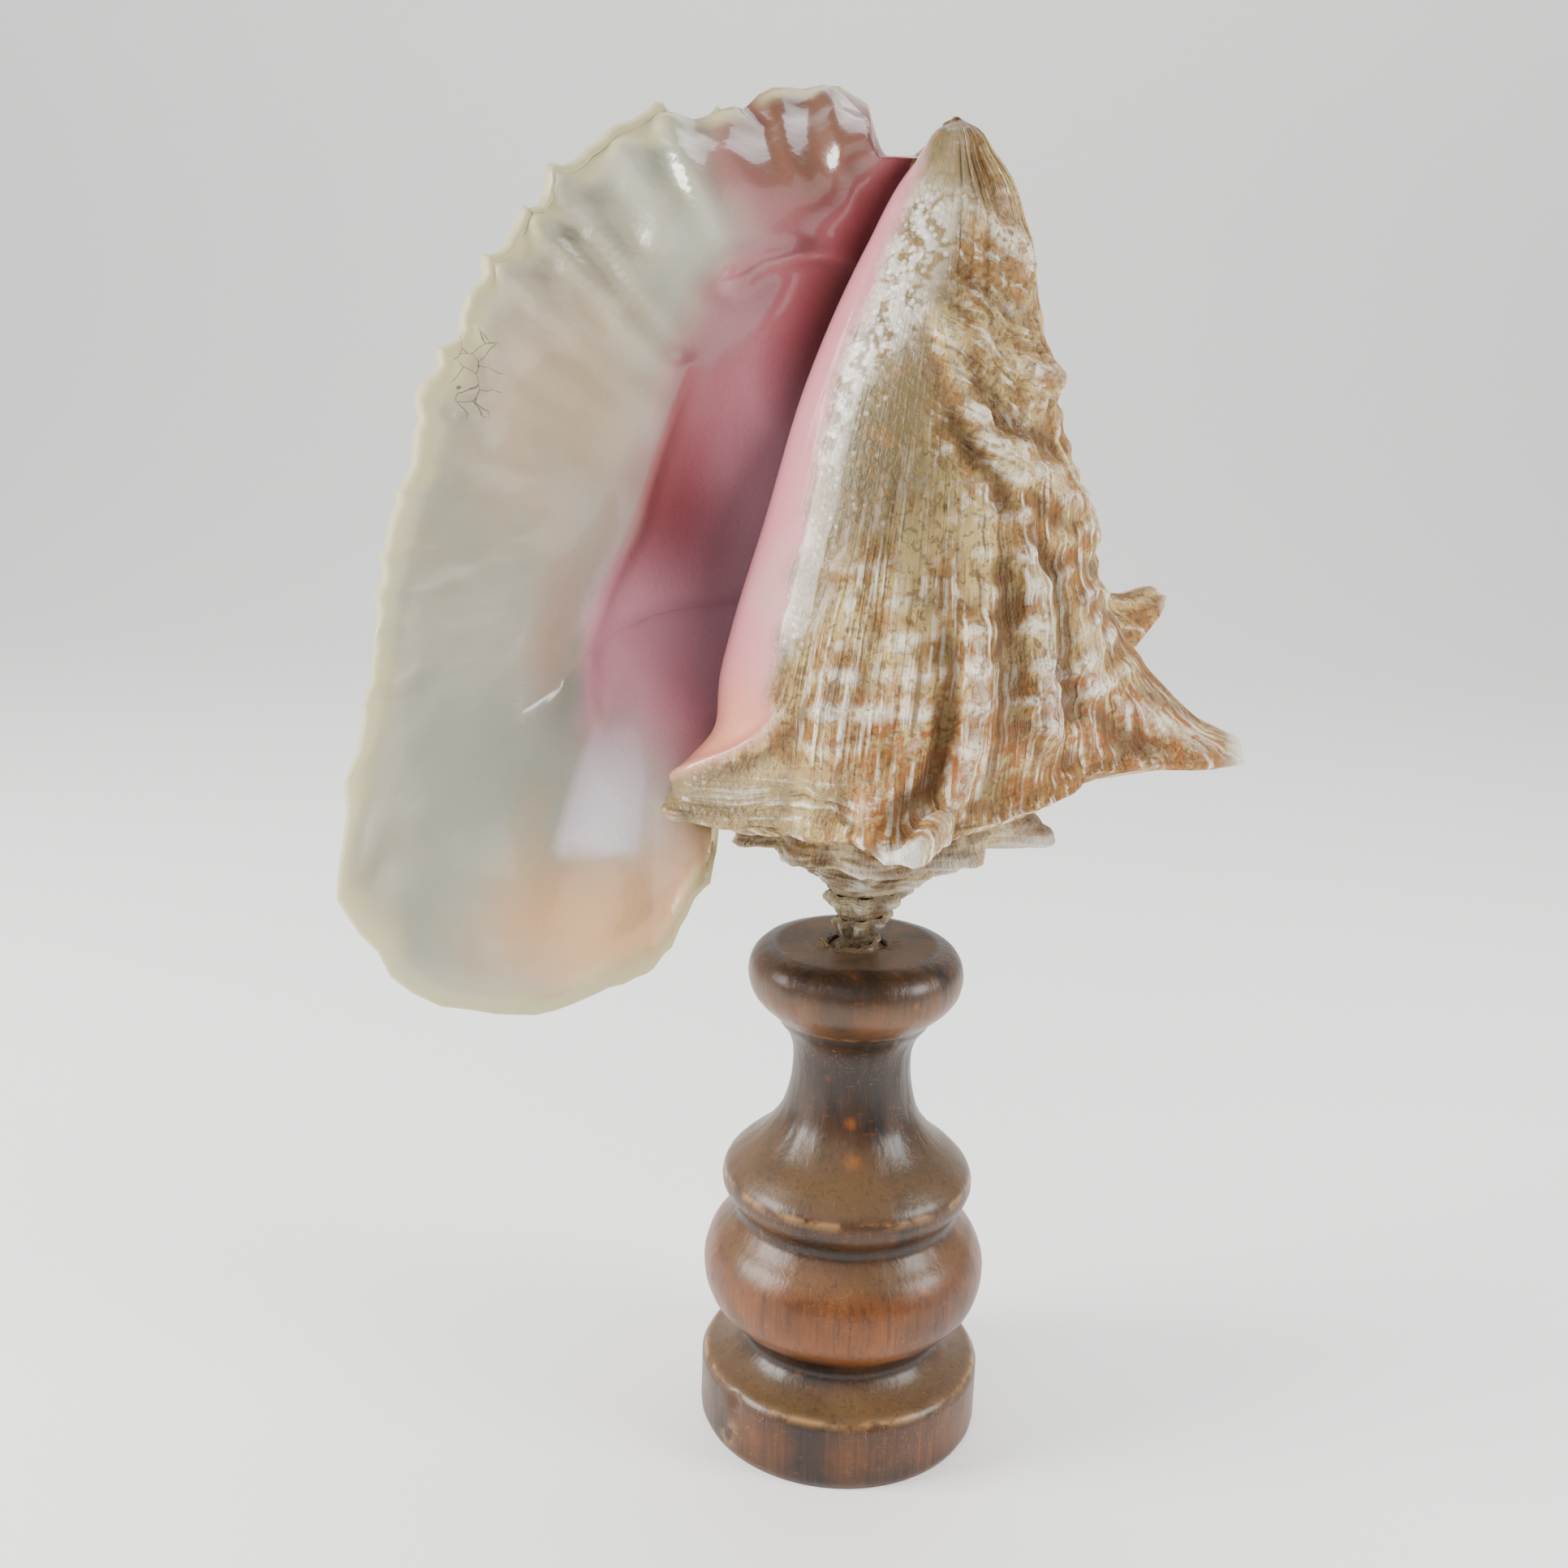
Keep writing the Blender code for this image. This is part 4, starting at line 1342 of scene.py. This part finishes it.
@dataclass(frozen=True)
class ShellFinish:
    """Colours of the shell: pearly lip, rose throat, tan ribs and chalky spire, with painted shade in hollows
    and painted highlights on raised parts.
    """

    nacre: Rgb = (182, 180, 160)
    cloud_blue: Rgb = (158, 164, 148)
    cloud_warm: Rgb = (180, 164, 138)
    # Colour of the painted shade between the lip's pleats.
    pleat_valley_shade: Rgb = (126, 122, 100)
    rim: Rgb = (196, 188, 142)
    peach: Rgb = (216, 168, 120)
    cream: Rgb = (104, 72, 48)
    rose: Rgb = (152, 94, 98)
    deep: Rgb = (140, 76, 82)
    # Lilac of the throat, also used for a painted pool of light deep in the throat.
    lilac_and_painted_light: Rgb = (230, 182, 198)
    # Whiter nacre, also a painted window reflection low in the throat.
    white: Rgb = (246, 236, 244)
    column: Rgb = (212, 134, 144)
    flesh: Rgb = (232, 152, 116)
    tan: Rgb = (204, 176, 112)
    ochre: Rgb = (154, 108, 42)
    brown: Rgb = (86, 56, 20)
    rust: Rgb = (164, 90, 22)
    streak: Rgb = (250, 242, 222)
    sand: Rgb = (170, 150, 104)
    glaze: Rgb = (138, 118, 76)
    olive: Rgb = (88, 72, 34)
    chalk: Rgb = (208, 190, 150)
    mauve: Rgb = (140, 120, 94)
    worn: Rgb = (246, 240, 226)
    crack: Rgb = (80, 76, 64)

    def outside(self, s: Sheet, lines: Value, clouds: Value) -> Value:
        """Colour of the ribbed outer surface.

        Args:
            s: node tree of the material.
            lines: growth lines.
            clouds: soft clouds.

        Returns:
            The colour.
        """
        blotch = s.noise(s.place, 85.0, 5.0, 0.8)
        colour = s.blend(blotch.between(0.40, 0.60), self.tan, self.ochre)
        fine = s.noise(s.place, 520.0, 5.0, 0.8)
        colour = s.blend(fine.between(0.50, 0.62) * 0.65, colour, self.brown)
        colour = s.blend(s.mark("pale") * 0.8, colour, self.sand)
        rust = s.noise(s.place, 260.0, 5.0, 1.4).between(0.46, 0.58)
        colour = s.blend(rust * s.mark("rust") * 0.95, colour, self.rust)
        torn = s.noise(s.place, 190.0, 5.0, 0.9).between(0.42, 0.58)
        colour = s.blend(lines.between(0.51, 0.63) * (0.08 + 0.72 * torn), colour, self.streak)
        broken = s.noise(s.place, 480.0, 5.0, 0.9).between(0.36, 0.58)
        # The crest mark whitens the cord crests and, as a painted highlight, raised folds and ridges.
        colour = s.blend(s.mark("crest").between(0.25, 1.0) * (0.12 + 0.85 * broken), colour, self.streak)
        dark = 1 - lines.between(0.32, 0.47)
        colour = s.blend(dark * 0.68, colour, self.brown)
        # Painted shade: browner in the hollows of the relief.
        colour = s.blend(s.mark("low") * (0.45 + 0.6 * clouds), colour, self.brown)
        colour = s.blend(s.mark("olive") * 0.75, colour, self.olive)
        specks = 1 - s.cells(s.place, 420.0).between(0.05, 0.14)
        return s.blend(specks * s.noise(s.place, 45.0).between(0.5, 0.6) * 0.8, colour, self.deep)

    def glazed(self, s: Sheet, clouds: Value) -> Value:
        """Colour of the clear inner lip laid over the body.

        Args:
            s: node tree of the material.
            clouds: soft clouds.

        Returns:
            The colour.
        """
        colour = s.blend(clouds.between(0.40, 0.70), self.glaze, self.olive)
        colour = s.blend(s.mark("olive") * 0.7, colour, self.olive)
        fine = s.noise(s.place, 330.0, 4.0, 0.8)
        colour = s.blend(fine.between(0.52, 0.66) * 0.4, colour, self.ochre)
        spots = 1 - s.cells(s.place, 520.0).between(0.18, 0.42)
        flakes = s.noise(s.place, 240.0, 4.0, 0.6).between(0.40, 0.56)
        colour = s.blend(s.mark("speck") * (spots * 0.6 + flakes * 0.75), colour, self.worn)
        return s.blend(spots * s.noise(s.place, 70.0).between(0.54, 0.62) * 0.4, colour, self.streak)

    def inner(self, s: Sheet, clouds: Value) -> Value:
        """Colour of the lip's inner face and the throat.

        Args:
            s: node tree of the material.
            clouds: soft clouds.

        Returns:
            The colour.
        """
        blue = s.noise(s.stretched((1.0, 1.0, 0.6)), 24.0, 3.0, 0.6).between(0.40, 0.66)
        warm = s.noise(s.stretched((1.0, 1.0, 0.7)), 36.0, 3.0, 0.6).between(0.44, 0.70)
        colour = s.blend(blue * 0.75, self.nacre, self.cloud_blue)
        colour = s.blend(warm * 0.6, colour, self.cloud_warm)
        # Painted shade between the pleats, and grey patches.
        colour = s.blend(s.mark("low") * 0.6, colour, self.pleat_valley_shade)
        colour = s.blend(s.mark("peach"), colour, self.peach)
        # Painted window reflection on the whiter nacre low in the throat.
        colour = s.blend(s.mark("white") * 0.85, colour, self.white)
        throat = s.blend(s.mark("deep") * (0.6 + 0.7 * clouds), self.rose, self.deep)
        # Lilac nacre, plus a painted pool of light deep in the throat.
        throat = s.blend(s.mark("lilac_and_painted_light"), throat, self.lilac_and_painted_light)
        colour = s.blend(s.mark("pink"), colour, throat)
        colour = s.blend(s.mark("cream"), colour, self.cream)
        colour = s.blend(s.mark("rim") * (0.45 + 0.8 * clouds), colour, self.rim)
        wavy = s.noise(s.place, 300.0, 3.0) * 0.0016
        shifted = s.node("ShaderNodeVectorMath", {"operation": "ADD"}, {0: s.place, 1: wavy})
        lines = {"Vector": shifted, "Scale": 190.0}
        split = s.node("ShaderNodeTexVoronoi", {"feature": "DISTANCE_TO_EDGE"}, lines, "Distance")
        crack = s.mark("crack").between(0.35, 0.6) * (1 - split.between(0.006, 0.022)) * 0.85
        return s.blend(crack, colour, self.crack)

    def build(self) -> bpy.types.Material:
        """Make the material.

        Returns:
            The finished material.
        """
        s = Sheet("conch shell, pearly and ribbed")
        clouds = s.noise(s.place, 48.0, 4.0, 0.3)
        grown = s.node("ShaderNodeCombineXYZ", {}, {0: s.mark("arc") * 0.8, 1: s.mark("along") * 0.045})
        lines = s.noise(grown, 1.0, 6.0, 0.4)
        slanted = s.node("ShaderNodeCombineXYZ", {}, {0: s.mark("swirl") * 0.11, 1: s.mark("arc") * 0.07})
        swirls = s.noise(slanted, 1.0, 5.0, 0.4)
        # Share of the slanted swirl lines in place of the growth lines.
        swirl_share = s.mark("swirl_share")
        lines = lines * (1 - swirl_share) + swirls * swirl_share
        colour = self.outside(s, lines, clouds)
        colour = s.blend(s.mark("glaze"), colour, self.glazed(s, clouds))
        chalk = s.blend(s.noise(s.place, 110.0, 5.0, 0.4).between(0.36, 0.58), self.chalk, self.mauve)
        chalk = s.blend(s.noise(s.place, 170.0, 5.0, 0.6).between(0.52, 0.64) * 0.45, chalk, self.ochre)
        chalk = s.blend(s.noise(s.place, 600.0, 4.0, 0.6).between(0.54, 0.64) * 0.4, chalk, self.brown)
        # Painted shade: browner in the hollows of the spire.
        chalk = s.blend(s.mark("low") * 0.8, chalk, self.brown)
        colour = s.blend(s.mark("spire"), colour, chalk)
        colour = s.blend(s.mark("worn") * (0.7 + 0.4 * clouds), colour, self.worn)
        colour = s.blend(s.mark("crack") * 0.6, colour, self.crack)
        inside = s.mark("inside")
        core = s.blend(s.mark("deep"), self.column, self.deep)
        core = s.blend(s.mark("peach") * 0.8, core, self.flesh)
        core = s.blend(s.noise(s.place, 40.0, 3.0).between(0.50, 0.7) * 0.25, core, self.nacre)
        colour = s.blend(inside, colour, self.inner(s, clouds))
        colour = s.blend(s.mark("column"), colour, core)
        smooth = s.mark("glaze") * (1 - s.mark("spire"))
        rough = 0.60 - 0.36 * inside - 0.34 * smooth * (1 - inside)
        rough = rough + 0.30 * s.mark("rim") + 0.10 * clouds + 0.16 * s.mark("olive")
        dull = 1 - 0.8 * s.mark("olive")
        coat = 0.8 * inside * (1 - s.mark("rim")) + 0.4 * smooth * (1 - inside) * dull
        grit = s.noise(s.place, 700.0, 4.0, 0.3)
        bump = lines * 1.1 * (1 - inside) * (1 - 0.8 * smooth)
        bump = bump + grit * (0.75 - 0.68 * inside) * (1 - 0.5 * smooth)
        looks = {"Base Color": colour, "Roughness": rough, "Coat Weight": coat, "Coat Roughness": 0.09}
        return s.finish(looks, bump, 0.0014)


@dataclass(frozen=True)
class WalnutFinish:
    """Dark waxed wood with orange rubbed places, painted highlights on the rims, a painted sheen on upward
    faces and painted shade under the top ring and in the socket.
    """

    dark: Rgb = (20, 11, 6)
    brown: Rgb = (66, 40, 16)
    orange: Rgb = (134, 72, 18)
    # Pale wood for scratches, and for the painted highlights on the rims.
    pale: Rgb = (196, 150, 96)
    # Dust on the top, and the colour of the painted sheen on upward faces.
    dust: Rgb = (116, 92, 64)
    # Near-black painted shade inside the socket.
    hole: Rgb = (24, 16, 12)

    def build(self) -> bpy.types.Material:
        """Make the material.

        Returns:
            The finished material.
        """
        s = Sheet("waxed walnut")
        grain = s.noise(s.stretched((1.0, 1.0, 0.03)), 900.0, 4.0, 0.4)
        cross = s.noise(s.stretched((0.4, 0.4, 1.0)), 900.0, 3.0, 0.2)
        bands = s.noise(s.stretched((1.0, 1.0, 0.3)), 60.0, 4.0, 0.6)
        colour = s.blend(bands.between(0.34, 0.62), self.dark, self.brown)
        rub = s.mark("rub") * s.noise(s.place, 40.0, 4.0, 0.5).between(0.28, 0.58)
        colour = s.blend(rub * (0.35 + 0.9 * grain), colour, self.orange)
        # Painted sheen on upward faces, in the dust colour.
        colour = s.blend(s.mark("up") * (0.36 + 0.5 * bands), colour, self.dust)
        colour = s.blend(grain.between(0.58, 0.72) * 0.28, colour, self.orange)
        colour = s.blend((1 - grain.between(0.32, 0.46)) * 0.25, colour, self.dark)
        colour = s.blend(cross.between(0.60, 0.70) * 0.25, colour, self.orange)
        # Painted highlights along the rims.
        crest = s.mark("crest") * s.noise(s.place, 190.0, 4.0).between(0.40, 0.60)
        colour = s.blend(crest * 0.55, colour, self.pale)
        spots = 1 - s.cells(s.place, 75.0).between(0.02, 0.12)
        colour = s.blend(spots * s.noise(s.place, 90.0, 3.0).between(0.46, 0.56), colour, self.orange)
        # Dark grooves, and painted shade on the neck under the top ring.
        colour = s.blend(s.mark("dark") * 0.8, colour, self.dark)
        colour = s.blend(s.mark("top") * (0.10 + 0.4 * bands), colour, self.dust)
        # Painted shade inside the socket.
        colour = s.blend(s.mark("hole"), colour, self.hole)
        for turn, scale in (((1.0, 0.6, 0.12), 330.0), ((0.3, 0.5, 1.0), 300.0)):
            thin = s.noise(s.stretched(turn), scale, 1.0, 3.0)
            line = thin.between(0.496, 0.500) * (1 - thin.between(0.500, 0.504))
            colour = s.blend(line * s.noise(s.place, 30.0).between(0.45, 0.6) * 0.5, colour, self.pale)
        rough = 0.34 + 0.12 * bands + 0.30 * s.mark("top")
        looks = {"Base Color": colour, "Roughness": rough, "Specular IOR Level": 0.42,
                 "Coat Weight": 0.12, "Coat Roughness": 0.22}
        return s.finish(looks, grain, 0.00012)


@dataclass(frozen=True)
class CrumbFinish:
    """Dry glue, dust and fibres."""

    name: str
    light: Rgb
    dim: Rgb

    def build(self) -> bpy.types.Material:
        """Make the material.

        Returns:
            The finished material.
        """
        s = Sheet(self.name)
        spots = s.noise(s.place, 1500.0, 2.0)
        colour = s.blend(spots, self.light, self.dim)
        return s.finish({"Base Color": colour, "Roughness": 0.7}, spots, 0.0001)


@dataclass
class Studio:
    """Pale floor, soft lights and the camera."""

    camera_at: Xyz = (-0.0208, -0.409, 0.287)
    camera_tilt_deg: float = 75.7
    camera_roll_deg: float = 1.85
    lens: float = 37.27
    sensor_width: float = 36.0
    floor_size: float = 3.0
    floor_colour: Rgb = (246, 245, 243)

    def floor(self) -> bpy.types.Object:
        """Make the floor, which rises softly at the back.

        Returns:
            The object.
        """
        half, back = self.floor_size, 1.2
        line = [(-half, 0.0), (back, 0.0)]
        for k in range(1, 13):
            angle = math.radians(k * 7.5)
            line.append((back + 0.8 * math.sin(angle), 0.8 - 0.8 * math.cos(angle)))
        line.append((back + 0.8, 3.5))
        points = [(x, y, z) for y, z in line for x in (-half, half)]
        faces = [(2 * k, 2 * k + 1, 2 * k + 3, 2 * k + 2) for k in range(len(line) - 1)]
        item = add_mesh("studio_floor", points, faces)
        item.data.shade_smooth()
        s = Sheet("pale paper")
        fine = s.noise(s.place, 60.0, 2.0)
        colour = s.blend(fine * 0.1, self.floor_colour, (240, 239, 237))
        looks = {"Base Color": colour, "Roughness": 0.8}
        looks.update({"Emission Color": (1.0, 1.0, 1.0, 1.0), "Emission Strength": 0.45})
        item.data.materials.append(s.finish(looks, fine, 0.0001))
        return item

    def lights(self) -> None:
        """Place a large window-like light, a fill and the pale surroundings."""
        self._area("window_light", (-1.05, -0.24, 0.58), (0.0, 0.0, 0.20), 0.50, 23.0, (1.0, 0.98, 0.95))
        self._area("fill_light", (1.0, -0.34, 0.60), (0.0, 0.0, 0.2), 0.44, 13.0, (1.0, 0.98, 0.95))
        self._area("front_light", (-0.35, -1.25, 1.10), (0.0, 0.0, 0.2), 1.1, 4.5, (1.0, 0.99, 0.97))
        self._area("top_light", (0.1, 0.3, 1.2), (0.0, 0.0, 0.2), 0.8, 8.0, (0.96, 0.98, 1.0))
        world = bpy.data.worlds.new("pale_room")
        bpy.context.scene.world = world
        world.use_nodes = True
        world.node_tree.nodes["Background"].inputs["Color"].default_value = linear((250, 250, 252))
        world.node_tree.nodes["Background"].inputs["Strength"].default_value = 0.25

    @staticmethod
    def _area(name: str, at: Xyz, aim: Xyz, size: float, power: float, colour: Xyz) -> None:
        """Place one square area light.

        Args:
            name: name to give.
            at: place of the light, in metres.
            aim: point it looks at.
            size: side in metres.
            power: strength in watts.
            colour: colour of its light.
        """
        data = bpy.data.lights.new(name, "AREA")
        data.size, data.energy, data.color = size, power, colour
        item = bpy.data.objects.new(name, data)
        bpy.context.scene.collection.objects.link(item)
        item.location = at
        item.rotation_euler = (Vector(aim) - Vector(at)).to_track_quat("-Z", "Y").to_euler()

    def camera(self) -> None:
        """Place the camera where the photographer stood."""
        data = bpy.data.cameras.new("photo_camera")
        data.lens, data.sensor_width = self.lens, self.sensor_width
        item = bpy.data.objects.new("photo_camera", data)
        bpy.context.scene.collection.objects.link(item)
        tilt = Matrix.Rotation(math.radians(self.camera_tilt_deg), 4, "X")
        roll = Matrix.Rotation(math.radians(self.camera_roll_deg), 4, "Z")
        item.matrix_world = Matrix.Translation(self.camera_at) @ tilt @ roll
        bpy.context.scene.camera = item


def dress(item: bpy.types.Object, material: bpy.types.Material) -> None:
    """Give a piece its finish and let it ride on the object's root.

    Args:
        item: the piece.
        material: its finish.
    """
    item.data.materials.append(material)
    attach(item, "root")
    LOG.info("%s rides on root with %s", item.name, material.name)


def main() -> None:
    """Build every piece in order."""
    logging.basicConfig(level=logging.INFO, format="%(message)s")
    shell = ConchShell(ShellForm()).build()
    dress(shell, ShellFinish().build())
    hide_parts("conch_shell")
    stand = TurnedStand().build()
    dress(stand, WalnutFinish().build())
    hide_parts("wooden_stand")
    dust, fibres = SocketCrumbs().build()
    dress(dust, CrumbFinish("dry glue and dust", (128, 106, 72), (52, 38, 22)).build())
    dress(fibres, CrumbFinish("dry fibres", (206, 176, 112), (160, 128, 76)).build())
    studio = Studio()
    studio.floor()
    studio.lights()
    studio.camera()


if __name__ == "__main__":
    main()
